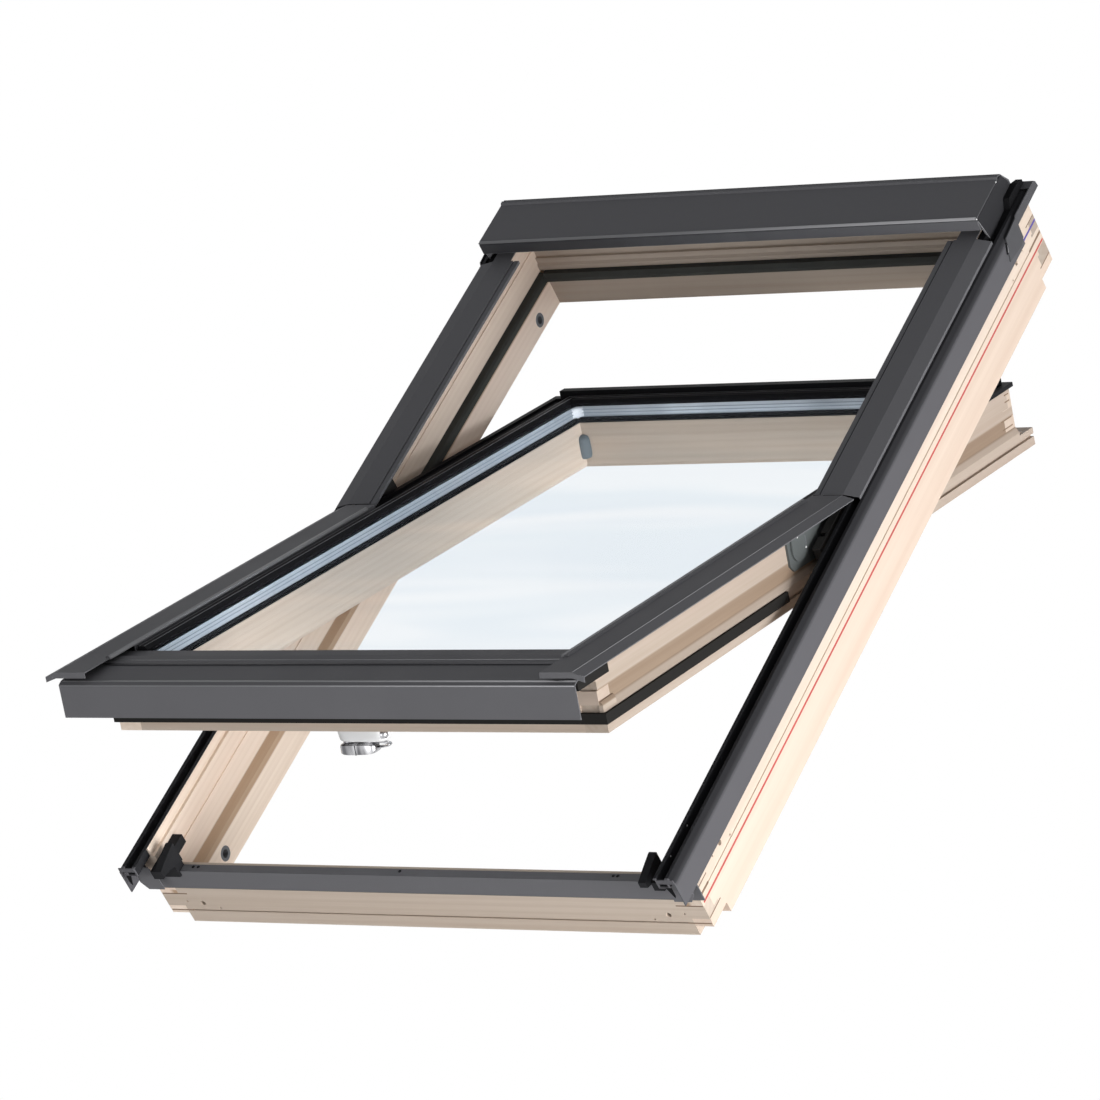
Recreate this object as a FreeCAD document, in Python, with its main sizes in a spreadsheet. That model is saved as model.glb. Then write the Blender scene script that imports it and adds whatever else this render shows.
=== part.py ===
import FreeCAD, Part

import math
import os
import Sketcher

# Centre pivot roof window, drawn lying in a roof of its usual pitch.
# Every section is drawn in window axes: X to the right, Y up the slope, Z outward from the roof.
# Outward heights of the fixed frame start at the lining groove of the bottom rail.
# The sash is drawn in axes of its own, whose origin is on the pivot line.

doc = FreeCAD.newDocument("CentrePivotWindow")
sheet = doc.addObject("Spreadsheet::Sheet", "Sizes")
rows = []


class Size:
    """A length that keeps the spreadsheet formula it was worked out with."""

    def __init__(self, value, formula=None):
        self.value = float(value)
        self.formula = formula if formula else repr(float(value))

    def __add__(self, other):
        other = as_size(other)
        return Size(self.value + other.value, f"({self.formula} + {other.formula})")

    def __sub__(self, other):
        other = as_size(other)
        return Size(self.value - other.value, f"({self.formula} - {other.formula})")

    def __mul__(self, other):
        other = as_size(other)
        return Size(self.value * other.value, f"({self.formula} * {other.formula})")

    def __truediv__(self, other):
        other = as_size(other)
        return Size(self.value / other.value, f"({self.formula} / {other.formula})")

    def __neg__(self):
        return Size(-self.value, f"(-1 * {self.formula})")

    def __radd__(self, other):
        return as_size(other) + self

    def __rsub__(self, other):
        return as_size(other) - self

    def __rmul__(self, other):
        return as_size(other) * self


def as_size(number):
    return number if isinstance(number, Size) else Size(number)


def cosine(angle):
    return Size(math.cos(math.radians(angle.value)), f"cos({angle.formula})")


def sine(angle):
    return Size(math.sin(math.radians(angle.value)), f"sin({angle.formula})")


def dimension(alias, value):
    """Write one driving dimension into the sheet and hand it back."""
    rows.append(alias)
    cell = f"A{len(rows)}"
    sheet.set(cell, str(value))
    sheet.setAlias(cell, alias)
    return Size(value, f"Sizes.{alias}")


# Overall frame
pitch = dimension("roof_pitch", 45)
frame_width = dimension("frame_width", 780)
frame_length = dimension("frame_length", 1178)
room_depth = dimension("room_depth", 21)
half_width = frame_width / 2
half_length = frame_length / 2

# Pivot line, on the outer face of the covers, and how far the sash stands open
axis_slope = dimension("pivot_up_slope", 12)
axis_height = dimension("pivot_height", 118.6)
opening = dimension("sash_opening", 25.1)

# Frame stile section, across the width
stile_room_width = dimension("stile_room_width", 33)
stile_neck_width = dimension("stile_neck_width", 25)
stile_band_step = dimension("stile_band_step", 1.5)
stile_upstand_step = dimension("stile_upstand_step", 6)
upstand_width = dimension("upstand_width", 2.5)
recess_low = dimension("recess_low", 26)
recess_high = dimension("recess_high", 33)
band_level = dimension("band_level", 67)
channel_seat = axis_height - dimension("channel_seat_drop", 24.6)
upstand_top = axis_height - dimension("upstand_top_drop", 11.1)
side_groove_level = dimension("side_groove_level", 40.2)
side_groove_width = dimension("side_groove_width", 1.6)
side_groove_depth = dimension("side_groove_depth", 1.5)
room_face = half_width - stile_room_width
neck_face = half_width - stile_neck_width
band_face = neck_face + stile_band_step
upstand_face = neck_face + stile_upstand_step
upstand_back = upstand_face + upstand_width

# Frame rail sections, along the slope
rail_seat = dimension("rail_seat", 66)
rail_top_width = dimension("rail_top_width", 17)
rail_room_width = dimension("rail_room_width", 27.5)
rail_ledge = dimension("rail_ledge", 12)
lining_groove_width = dimension("lining_groove_width", 2)
lining_groove_depth = dimension("lining_groove_depth", 6)
top_rail_room_width = dimension("top_rail_room_width", 28)
top_rail_width = dimension("top_rail_width", 19)
top_rail_height = axis_height - dimension("top_rail_height_drop", 14.6)
seal_slot_low = dimension("seal_slot_low", 22)
seal_slot_high = dimension("seal_slot_high", 36)
seal_slot_depth = dimension("seal_slot_depth", 5)
top_lip_level = dimension("top_lip_level", 43)
top_step_level = dimension("top_step_level", 54)

# Box joints of the frame corners
frame_shoulder = neck_face
frame_fingers = [
    (dimension("frame_finger_low", 6.5), dimension("frame_finger_low_top", 28)),
    (dimension("frame_finger_high", 50), dimension("frame_finger_high_top", 70)),
]
corner_notch = dimension("corner_notch", 39)
notch_level = dimension("notch_level", 6)

# Sheet metal
sheet_thickness = dimension("sheet_thickness", 1.5)
cover_thickness = dimension("cover_thickness", 1.2)
cladding_standoff = dimension("cladding_standoff", 8)
cladding_low = dimension("cladding_low", 66)
cladding_shoulder = axis_height - dimension("cladding_shoulder_drop", 17.6)
cladding_rim = axis_height - dimension("cladding_rim_drop", 9.1)
rim_width = dimension("rim_width", 4)
rim_slope = dimension("rim_slope", 7)
cladding_overhang = dimension("cladding_overhang", 35)
cladding_top_end = half_length - dimension("cladding_top_play", 0.2)
end_lip_low = axis_height - dimension("end_lip_low_drop", 17.6)
end_lip_high = axis_height - dimension("end_lip_high_drop", 11.6)
bottom_cladding_low = dimension("bottom_cladding_low", 38)
bottom_cladding_shelf = dimension("bottom_cladding_shelf", 12)
rebate_play = dimension("rebate_play", 0.5)
end_plate_gap = dimension("end_plate_gap", 2)
cladding_face = half_width + cladding_standoff
rim_face = cladding_face - rim_slope - rim_width
channel_floor = channel_seat + sheet_thickness

# Side covers
cover_inner = half_width - dimension("cover_inner_inset", 65)
cover_strip = dimension("cover_strip", 7)
cover_groove_width = dimension("cover_groove_width", 2)
cover_groove_depth = dimension("cover_groove_depth", 2.4)
cover_strip_drop = dimension("cover_strip_drop", 0.8)
cover_flat = half_width - dimension("cover_flat_inset", 24)
cover_slope = dimension("cover_slope", 5)
cover_inner_lip = dimension("cover_inner_lip", 5)
cover_joint_gap = dimension("cover_joint_gap", 1.5)
upper_cover_end = half_length - dimension("upper_cover_end_inset", 103)
cover_tail_end = half_length - dimension("cover_tail_inset", 79)
cover_tail_inner = dimension("cover_tail_inner", 13)
sash_cover_outer = half_width - dimension("sash_cover_outer_inset", 8.5)
sash_cover_end = half_length + dimension("sash_cover_end_reach", 59)
cover_end_lip = dimension("cover_end_lip", 7)
bead_height = dimension("bead_height", 2.5)
bead_start = dimension("bead_start", 22)
bead_end = half_length + dimension("bead_end_reach", 5)

# Top casing and its side brackets
casing_half_width = half_width - dimension("casing_half_width_inset", 13.2)
casing_front = half_length - dimension("casing_front_inset", 100)
casing_lip = axis_height + dimension("casing_lip_rise", 11.4)
casing_height = axis_height + dimension("casing_height_rise", 29.9)
casing_fold = dimension("casing_fold", 4)
casing_bead_place = half_length - dimension("casing_bead_place_inset", 23)
casing_back = half_length - dimension("casing_back_inset", 12)
casing_back_low = dimension("casing_back_low", 60)
casing_back_fold = axis_height + dimension("casing_back_fold_rise", 9.4)
casing_end_low = axis_height - dimension("casing_end_low_drop", 18.6)
casing_end_slant = dimension("casing_end_slant", 12)
bracket_low_end = half_length - dimension("bracket_low_end_inset", 101)
bracket_top_end = half_length + dimension("bracket_top_end_reach", 21)
bracket_waist = half_length - dimension("bracket_waist_inset", 53)
bracket_low = dimension("bracket_low", 72)
bracket_strip_low = axis_height - dimension("bracket_strip_low_drop", 21.6)
bracket_top = axis_height - dimension("bracket_top_drop", 12.6)
bracket_foot_play = dimension("bracket_foot_play", 0.1)
bracket_foot_inset = dimension("bracket_foot_inset", 2.2)
bracket_foot_length = dimension("bracket_foot_length", 14)

# Sash section, across the width
sash_side = half_width - dimension("sash_side_inset", 47)
sash_lip = half_width - dimension("sash_lip_inset", 42)
daylight_half = half_width - dimension("daylight_inset", 90)
rebate_width = dimension("rebate_width", 16)
sash_wood_top = dimension("sash_wood_top", 12)
glass_floor = dimension("glass_floor", 38)
sash_depth = dimension("sash_depth", 101)
sash_flare_start = sash_depth - dimension("sash_flare_start_lift", 35)
sash_flare_end = sash_depth - dimension("sash_flare_end_lift", 27)
slot_high = sash_depth - dimension("sash_slot_high_lift", 15)
slot_low = sash_depth - dimension("sash_slot_low_lift", 11)
slot_depth = dimension("sash_slot_depth", 5)
room_chamfer = dimension("room_chamfer", 6)
sash_bottom = half_length - dimension("sash_bottom_inset", 18)
sash_lip_bottom = half_length - dimension("sash_lip_bottom_inset", 20)
sash_top = half_length - dimension("sash_top_inset", 99)
sash_lip_top = half_length - dimension("sash_lip_top_inset", 63)
sash_rail_width = dimension("sash_rail_width", 26)
flange_level = sash_depth - dimension("flange_level_lift", 23)
sash_shoulder_depth = dimension("sash_shoulder_depth", 26)
finger_low = sash_depth * dimension("finger_low_share", 0.6634)
finger_low_top = sash_depth * dimension("finger_low_top_share", 0.495)
finger_high = sash_depth * dimension("finger_high_share", 0.3812)
finger_high_top = sash_depth * dimension("finger_high_top_share", 0.1782)
sash_fingers = [(finger_low, finger_low_top), (finger_high, finger_high_top)]

# Glass unit
pane = dimension("pane_thickness", 4)
cavity = dimension("cavity", 16)
glazing_seal = dimension("glazing_seal", 2)
edge_play = dimension("edge_play", 2)
spacer_sight = dimension("spacer_sight", 6)
spacer_width = dimension("spacer_width", 7)

# Sash cladding
profile_drop = dimension("profile_drop", 10)
profile_ridge = dimension("profile_ridge", 3.5)
profile_lip_height = dimension("profile_lip_height", 6.4)
profile_lip_reach = dimension("profile_lip_reach", 5.8)
profile_lip_width = dimension("profile_lip_width", 8)
profile_ridge_outer = daylight_half + dimension("profile_ridge_outer_reach", 18)
profile_ridge_inner = daylight_half + dimension("profile_ridge_inner_reach", 9)
profile_reach = daylight_half + dimension("profile_sight", 5)
profile_top_end = sash_top - dimension("profile_top_end_inset", 11)
top_cladding_rise = dimension("top_cladding_rise", 4)
top_cladding_corner = dimension("top_cladding_corner", 10)
top_cladding_reach = sash_top - dimension("top_cladding_reach_inset", 32)
top_cladding_end = sash_top + dimension("top_cladding_end_reach", 2)
bottom_cladding_half = half_width - dimension("bottom_cladding_half_inset", 24.2)
bottom_cladding_inner = half_length - dimension("bottom_cladding_inner_inset", 47)
bottom_ridge_place = half_length - dimension("bottom_ridge_place_inset", 18)
bottom_ridge_foot = dimension("bottom_ridge_foot", 3)
bottom_ridge = dimension("bottom_ridge", 5.5)
bottom_fold_place = half_length + dimension("bottom_fold_place_reach", 51)
bottom_fold = dimension("bottom_fold", 12.5)
bottom_front = half_length + dimension("bottom_front_reach", 57)
bottom_front_fold = dimension("bottom_front_fold", 16)
bottom_front_low = dimension("bottom_front_low", 57.5)

# Seals
frame_seal_reach = dimension("frame_seal_reach", 2.5)
top_seal_reach = dimension("top_seal_reach", 8)
sash_seal_reach = dimension("sash_seal_reach", 4)
sash_seal_front = dimension("sash_seal_front", 3.3)
sash_seal_high = sash_depth - dimension("sash_seal_high_lift", 25)
sash_seal_low = sash_depth - dimension("sash_seal_low_lift", 12)
sash_seal_end = dimension("sash_seal_end", 140)
frame_seal_start = dimension("frame_seal_start", 20)

# Pivot fittings
track_radius = dimension("track_radius", 60)
tongue_width = dimension("tongue_width", 6)
tongue_play = dimension("tongue_play", 0.5)
track_half_length = dimension("track_half_length", 85)
track_low = dimension("track_low", 37)
track_top = axis_height - dimension("track_top_drop", 10)
track_thickness = dimension("track_thickness", 11)
track_depth = dimension("track_depth", 8)
tongue_start = dimension("tongue_start", 310)
tongue_end = dimension("tongue_end", 346)
arm_thickness = dimension("arm_thickness", 3)
arm_low_end = dimension("arm_low_end", 115)
arm_high_end = dimension("arm_high_end", 75)
arm_high = dimension("arm_high", 12.5)
arm_low = dimension("arm_low", 62)
disc_place = dimension("disc_place", 92)
disc_drop = dimension("disc_drop", 36)
disc_radius = dimension("disc_radius", 17)
disc_thickness = dimension("disc_thickness", 3)

# Handle
handle_place = half_length - dimension("handle_place_inset", 34)
handle_radius = dimension("handle_radius", 11)
handle_left = dimension("handle_left", 36)
handle_right = dimension("handle_right", 32)
handle_height = dimension("handle_height", 15)
spindle_place = dimension("spindle_place", 27)
spindle_radius = dimension("spindle_radius", 7)
spindle_gap = dimension("spindle_gap", 0.3)
lever_gap = dimension("lever_gap", 3)
lever_depth = dimension("lever_depth", 32)
lever_hub_end = dimension("lever_hub_end", 12)
lever_reach = dimension("lever_reach", 41)
lever_thickness = dimension("lever_thickness", 3.5)
lever_half_width = dimension("lever_half_width", 7.5)
lever_rise = dimension("lever_rise", 8)

# Small fittings
socket_radius = dimension("socket_radius", 10)
socket_bore = dimension("socket_bore", 5.5)
socket_depth = dimension("socket_depth", 14)
upper_socket_place = half_length - dimension("upper_socket_place_inset", 82)
upper_socket_level = dimension("upper_socket_level", -4.8)
lower_socket_place = half_length - dimension("lower_socket_place_inset", 95)
lower_socket_level = dimension("lower_socket_level", 0)
block_inner = half_width - dimension("block_inner_inset", 48)
block_front = dimension("block_front", 3.5)
block_nose_width = dimension("block_nose_width", 10.3)
block_nose_reach = half_length + dimension("block_nose_reach", 28)
block_nose_depth = dimension("block_nose_depth", 8)
block_ledge_reach = half_length + dimension("block_ledge_reach", 20)
block_post_top = axis_height - dimension("block_post_top_drop", 15.6)
block_post_back = half_length - dimension("block_post_back_inset", 14)
block_low = dimension("block_low", 61)
block_step = dimension("block_step", 6.5)
block_top = axis_height - dimension("block_top_drop", 31.6)
block_back = half_length - dimension("block_back_inset", 44)
end_block_inner = half_width - dimension("end_block_inner_inset", 32.4)
end_block_length = dimension("end_block_length", 68)
end_block_depth = dimension("end_block_depth", 11)
block_play = dimension("block_play", 0.2)
plug_leg = dimension("plug_leg", 11)
plug_high = dimension("plug_high", 54)
plug_low = dimension("plug_low", 88)

# Holes for the fixing brackets
hole_radius = dimension("hole_radius", 3.5)
pilot_radius = dimension("pilot_radius", 1.5)
hole_depth = dimension("hole_depth", 20)
upper_hole_depth = dimension("upper_hole_depth", 18)
hole_place = half_length - dimension("hole_place_inset", 77)
hole_level = dimension("hole_level", 54.6)
hole_spacing = dimension("hole_spacing", 22.5)
pilot_drop = dimension("pilot_drop", 10)
rail_hole_place = half_width - dimension("rail_hole_place_inset", 54.5)
rail_hole_level = dimension("rail_hole_level", 11.6)
rail_hole_depth = dimension("rail_hole_depth", 15)
left_rail_hole_depth = dimension("left_rail_hole_depth", 13)

doc.recompute()

# The origin is the centre of the flat band on the bottom rail's lower face
mount_level = bottom_cladding_low / 2
origin_slope = half_length
ORIGIN = (
    origin_slope * cosine(pitch) + mount_level * sine(pitch),
    origin_slope * sine(pitch) - mount_level * cosine(pitch),
)
AXIS = (
    ORIGIN[0] + axis_slope * cosine(pitch) - axis_height * sine(pitch),
    ORIGIN[1] + axis_slope * sine(pitch) + axis_height * cosine(pitch),
)
X_AXIS = FreeCAD.Vector(1, 0, 0)
SIDES = (("left", -1), ("right", 1))


def place(shape_object, on_sash=False):
    """Lean a piece back to the roof pitch; a sash piece is also turned about the pivot line."""
    base = AXIS if on_sash else ORIGIN
    angle = pitch - opening if on_sash else pitch
    start = FreeCAD.Vector(0, base[0].value, base[1].value)
    shape_object.Placement = FreeCAD.Placement(start, FreeCAD.Rotation(X_AXIS, angle.value))
    shape_object.setExpression("Placement.Base.y", base[0].formula)
    shape_object.setExpression("Placement.Base.z", base[1].formula)
    shape_object.setExpression("Placement.Rotation.Angle", angle.formula)
    return shape_object


def new_body(label, on_sash=False):
    body = doc.addObject("PartDesign::Body", label)
    body.Label = label
    return place(body, on_sash)


def bind(sketch, kind, geometry, number, formula_size):
    """Tie one sketch measure to the sheet."""
    if kind == "Radius":
        index = sketch.addConstraint(Sketcher.Constraint(kind, geometry, formula_size.value))
    else:
        index = sketch.addConstraint(
            Sketcher.Constraint(kind, -1, 1, geometry, number, formula_size.value)
        )
    sketch.setExpression(f"Constraints[{index}]", formula_size.formula)


def new_sketch(body, plane, offset):
    """Attach a sketch to one of the body's own origin planes, moved along its normal."""
    sketch = body.newObject("Sketcher::SketchObject", body.Name + "_sketch")
    support = [item for item in body.Origin.OriginFeatures if item.Role == plane][0]
    sketch.AttachmentSupport = [(support, "")]
    sketch.MapMode = "FlatFace"
    sketch.setExpression("AttachmentOffset.Base.z", as_size(offset).formula)
    return sketch


def draw_loop(sketch, points):
    """Draw one closed outline whose corners are all tied to the sheet."""
    points = [(as_size(first), as_size(second)) for first, second in points]
    start = sketch.GeometryCount
    count = len(points)
    corners = [FreeCAD.Vector(first.value, second.value, 0) for first, second in points]
    lines = [Part.LineSegment(corners[i], corners[(i + 1) % count]) for i in range(count)]
    sketch.addGeometry(lines, False)
    for i in range(count):
        following = start + (i + 1) % count
        sketch.addConstraint(Sketcher.Constraint("Coincident", start + i, 2, following, 1))
    for i, (first, second) in enumerate(points):
        bind(sketch, "DistanceX", start + i, 1, first)
        bind(sketch, "DistanceY", start + i, 1, second)


def draw_circle(sketch, first, second, radius):
    first, second, radius = as_size(first), as_size(second), as_size(radius)
    centre = FreeCAD.Vector(first.value, second.value, 0)
    circle = Part.Circle(centre, FreeCAD.Vector(0, 0, 1), radius.value)
    number = sketch.addGeometry(circle, False)
    bind(sketch, "DistanceX", number, 3, first)
    bind(sketch, "DistanceY", number, 3, second)
    bind(sketch, "Radius", number, 0, radius)


def plane_offset(plane, start, end):
    """Where the sketch lies so that the pad fills start to end along the plane's axis."""
    return -as_size(end) if plane == "XZ_Plane" else as_size(start)


def add_pad(body, plane, loops, start, end, circles=()):
    """Add material between two places along the axis that the plane looks along."""
    start, end = as_size(start), as_size(end)
    sketch = new_sketch(body, plane, plane_offset(plane, start, end))
    for loop in loops:
        draw_loop(sketch, loop)
    for circle in circles:
        draw_circle(sketch, *circle)
    pad = body.newObject("PartDesign::Pad", body.Name + "_pad")
    pad.Profile = sketch
    pad.setExpression("Length", (end - start).formula)
    body.Tip = pad
    return body


def add_pocket(body, plane, loops, start, end, circles=()):
    """Take material away between two places along the axis that the plane looks along."""
    start, end = as_size(start), as_size(end)
    offset = -start if plane == "XZ_Plane" else end
    sketch = new_sketch(body, plane, offset)
    for loop in loops:
        draw_loop(sketch, loop)
    for circle in circles:
        draw_circle(sketch, *circle)
    pocket = body.newObject("PartDesign::Pocket", body.Name + "_pocket")
    pocket.Profile = sketch
    pocket.setExpression("Length", (end - start).formula)
    body.Tip = pocket
    return body


def bar_across(label, points, start, end, on_sash=False):
    """A bar that runs up the slope, with its section drawn across the width."""
    return add_pad(new_body(label, on_sash), "XZ_Plane", [points], start, end)


def bar_along(label, points, start, end, on_sash=False):
    """A bar that runs across the width, with its section drawn along the slope."""
    return add_pad(new_body(label, on_sash), "YZ_Plane", [points], start, end)


def mirrored(side, points):
    return [(side * as_size(first), second) for first, second in points]


def rectangle(first, second, third, fourth):
    """Corners of a rectangle from first to second one way and third to fourth the other."""
    return [(first, third), (second, third), (second, fourth), (first, fourth)]


def span(side, inner, outer):
    """The start and end of a stretch between two distances from the middle, on one side."""
    return (inner, outer) if side > 0 else (-as_size(outer), -as_size(inner))


def folded(path, thickness):
    """Outline of a folded sheet: each path point also says which way its inner corner lies."""
    outer = [(first, second) for first, second, _, _ in path]
    inner = [
        (as_size(first) + thickness * across, as_size(second) + thickness * up)
        for first, second, across, up in reversed(path)
    ]
    return outer + inner


def cut_by(label, base, tool):
    """The base piece without the room that the tool piece fills."""
    base.Label = label + "_blank"
    cut = doc.addObject("Part::Cut", label)
    cut.Label = label
    cut.Base = base
    cut.Tool = tool
    return cut


def finger_slots(body, plane_start, plane_end, shoulder, reach, bands):
    """Cut the box joint slots at both ends of a rail, where the stile's fingers go."""
    for low, high in bands:
        for side in (-1, 1):
            start, end = span(side, shoulder, reach)
            loop = rectangle(plane_start, plane_end, low, high)
            add_pocket(body, "YZ_Plane", [loop], start, end)
    return body


def rail_holes(side):
    """One bracket hole and its two pilot holes near an end of the bottom rail."""
    outer_pilot = side * (rail_hole_place + hole_spacing)
    inner_pilot = side * (rail_hole_place - hole_spacing)
    return [
        (side * rail_hole_place, rail_hole_level, hole_radius),
        (outer_pilot, rail_hole_level + pilot_drop / 4, pilot_radius),
        (inner_pilot, rail_hole_level - pilot_drop * 0.8, pilot_radius),
    ]


# Frame: two rails, joined to the stiles by box joints
def frame_bottom_rail():
    outer = -half_length
    top_edge = outer + rail_top_width
    room_edge = outer + rail_room_width
    groove = outer + lining_groove_depth
    rebate = outer + sheet_thickness
    section = [
        (outer, -room_depth),
        (outer, -lining_groove_width),
        (groove, -lining_groove_width),
        (groove, 0),
        (outer, 0),
        (outer, bottom_cladding_low - rebate_play),
        (rebate, bottom_cladding_low - rebate_play),
        (rebate, rail_seat),
        (top_edge, rail_seat),
        (top_edge, rail_ledge),
        (room_edge, rail_ledge),
        (room_edge, -room_depth),
    ]
    rail = bar_along("frame_bottom_rail", section, -half_width, half_width)
    bands = [
        (-room_depth, -notch_level),
        (-notch_level, frame_fingers[0][0]),
        (frame_fingers[0][1], frame_fingers[1][0]),
    ]
    finger_slots(rail, outer, room_edge, frame_shoulder, half_width, bands)
    for side, depth in ((-1, left_rail_hole_depth), (1, rail_hole_depth)):
        holes = rail_holes(side)
        add_pocket(rail, "XZ_Plane", [], outer, outer + depth, holes)
    return rail


def frame_top_rail():
    outer = half_length
    room_edge = outer - top_rail_room_width
    seal_wall = room_edge + seal_slot_depth
    lip = room_edge + 2
    back = outer - top_rail_width
    section = [
        (outer, -room_depth),
        (outer, top_rail_height),
        (back, top_rail_height),
        (back, top_step_level),
        (seal_wall, top_step_level),
        (seal_wall, top_lip_level + (seal_wall - lip)),
        (lip, top_lip_level),
        (lip, seal_slot_high),
        (seal_wall, seal_slot_high),
        (seal_wall, seal_slot_low),
        (room_edge, seal_slot_low),
        (room_edge, -room_depth),
    ]
    rail = bar_along("frame_top_rail", section, -half_width, half_width)
    bands = [
        (-room_depth, -notch_level),
        (-notch_level, frame_fingers[0][0]),
        (frame_fingers[0][1], frame_fingers[1][0]),
        (frame_fingers[1][1], top_rail_height),
    ]
    finger_slots(rail, room_edge, outer, frame_shoulder, half_width, bands)
    return rail


def stile_section():
    groove_top = side_groove_level + side_groove_width
    groove_wall = half_width - side_groove_depth
    return [
        (half_width, -room_depth),
        (half_width, side_groove_level),
        (groove_wall, side_groove_level),
        (groove_wall, groove_top),
        (half_width, groove_top),
        (half_width, channel_seat),
        (upstand_back, channel_seat),
        (upstand_back, upstand_top),
        (upstand_face, upstand_top),
        (upstand_face, channel_seat),
        (band_face, channel_seat),
        (band_face, band_level),
        (neck_face, band_level),
        (neck_face, recess_high),
        (room_face, recess_low),
        (room_face, -room_depth),
    ]


def frame_stile(name, side, rails):
    blank = bar_across(f"frame_{name}_stile_blank", mirrored(side, stile_section()),
                       -half_length, half_length)
    notch = rectangle(side * frame_shoulder, side * half_width, -room_depth, -notch_level)
    add_pocket(blank, "XZ_Plane", [notch], -half_length, -half_length + corner_notch)
    add_pocket(blank, "XZ_Plane", [notch], half_length - corner_notch, half_length)
    recess = rectangle(side * frame_shoulder, side * (half_width + 1),
                       bottom_cladding_low - rebate_play,
                       rail_seat + sheet_thickness + rebate_play)
    add_pocket(blank, "XZ_Plane", [recess], -half_length, -half_length + sheet_thickness)
    holes = [rail_holes(side)[1]]
    depth = left_rail_hole_depth if side < 0 else rail_hole_depth
    add_pocket(blank, "XZ_Plane", [], -half_length, -half_length + depth, holes)
    for direction, depth in ((-1, hole_depth), (1, upper_hole_depth)):
        start, end = span(side, half_width - depth, half_width)
        middle = direction * hole_place
        circles = [
            (middle, hole_level, hole_radius),
            (middle + direction * hole_spacing, hole_level + pilot_drop / 8, pilot_radius),
            (middle - direction * hole_spacing, hole_level - pilot_drop, pilot_radius),
        ]
        add_pocket(blank, "YZ_Plane", [], start, end, circles)
    if side < 0:
        start, end = span(side, room_face, room_face + socket_depth)
        circles = [
            (upper_socket_place, upper_socket_level, socket_radius),
            (-lower_socket_place, lower_socket_level, socket_radius),
        ]
        add_pocket(blank, "YZ_Plane", [], start, end, circles)
    first = cut_by(f"frame_{name}_stile_upper", blank, rails[0])
    return cut_by(f"frame_{name}_stile", first, rails[1])


def frame_seal():
    """Rubber seal along the top rail and the upper halves of the stiles."""
    body = new_body("frame_seal")
    room_edge = half_length - top_rail_room_width
    wall = room_edge + seal_slot_depth
    tip = room_edge - top_seal_reach
    top_section = [
        (wall, seal_slot_low),
        (tip + 1, seal_slot_low),
        (tip, seal_slot_low + 6),
        (tip + 3, seal_slot_high - 1),
        (wall, seal_slot_high - 1),
    ]
    add_pad(body, "YZ_Plane", [top_section], -room_face, room_face)
    side_section = [
        (room_face, seal_slot_low - 1),
        (room_face - frame_seal_reach, seal_slot_low),
        (room_face - frame_seal_reach, recess_high - 4),
        (room_face, recess_high - 1),
        (neck_face, recess_high + 1),
        (neck_face, recess_high),
        (room_face, recess_low),
    ]
    for side in (-1, 1):
        add_pad(body, "XZ_Plane", [mirrored(side, side_section)], frame_seal_start, room_edge)
    return body


def side_cladding(name, side):
    wall = cladding_face
    rim = rim_face
    inner_wall = upstand_back + sheet_thickness
    cap = upstand_top + sheet_thickness
    path = [
        (wall, cladding_low, -1, 0),
        (wall, cladding_shoulder, -1, -0.4),
        (wall - rim_slope, cladding_rim, -0.4, -1),
        (rim, cladding_rim, 1, -1),
        (rim, channel_floor, 1, -1),
        (inner_wall, channel_floor, -1, -1),
        (inner_wall, cap, -1, -1),
        (upstand_face, cap, 0, -1),
    ]
    low_end = -half_length - cladding_overhang
    outline = mirrored(side, folded(path, sheet_thickness))
    body = bar_across(f"frame_{name}_cladding", outline, low_end, bracket_waist)
    rim_path = [(wall, bracket_strip_low, -1, 0)] + path[1:]
    rim_outline = mirrored(side, folded(rim_path, sheet_thickness))
    add_pad(body, "XZ_Plane", [rim_outline], bracket_waist, cladding_top_end)
    lip = rectangle(side * inner_wall, side * (wall - 1), end_lip_low, end_lip_high)
    add_pad(body, "XZ_Plane", [lip], low_end, low_end + sheet_thickness)
    return body


def frame_bottom_cladding():
    outer = -half_length
    shelf = -half_length + bottom_cladding_shelf
    path = [
        (outer, bottom_cladding_low, 1, 0),
        (outer, rail_seat + sheet_thickness, 1, -1),
        (shelf, rail_seat + sheet_thickness, 0, -1),
    ]
    body = bar_along("frame_bottom_cladding", folded(path, sheet_thickness), -neck_face, neck_face)
    plate = rectangle(outer, outer + sheet_thickness, bottom_cladding_low,
                      rail_seat + sheet_thickness)
    for side in (-1, 1):
        start, end = span(side, neck_face, cladding_face - end_plate_gap)
        add_pad(body, "YZ_Plane", [plate], start, end)
    return body


def upper_cover(name, side):
    top = axis_height
    outer = rim_face
    strip = cover_inner + cover_strip
    groove = strip + cover_groove_width
    low = top - cover_groove_depth
    level = top - cover_strip_drop
    thick = cover_thickness
    outline = [
        (outer, channel_floor),
        (outer, top - cover_slope),
        (cover_flat, top),
        (groove, top),
        (groove, low),
        (strip, low),
        (strip, level),
        (cover_inner, level),
        (cover_inner, top - cover_inner_lip),
        (cover_inner + thick, top - cover_inner_lip),
        (cover_inner + thick, level - thick),
        (strip - thick, level - thick),
        (strip - thick, low - thick),
        (groove + thick, low - thick),
        (groove + thick, top - thick),
        (cover_flat - thick * 0.2, top - thick),
        (outer - thick, top - cover_slope - thick * 0.8),
        (outer - thick, channel_floor),
    ]
    start = axis_slope + cover_joint_gap
    body = bar_across(f"{name}_upper_cover", mirrored(side, outline), start, upper_cover_end)
    tail = rectangle(side * (cover_inner + cover_tail_inner), side * cover_flat, top - thick, top)
    return add_pad(body, "XZ_Plane", [tail], upper_cover_end, cover_tail_end)


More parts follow.
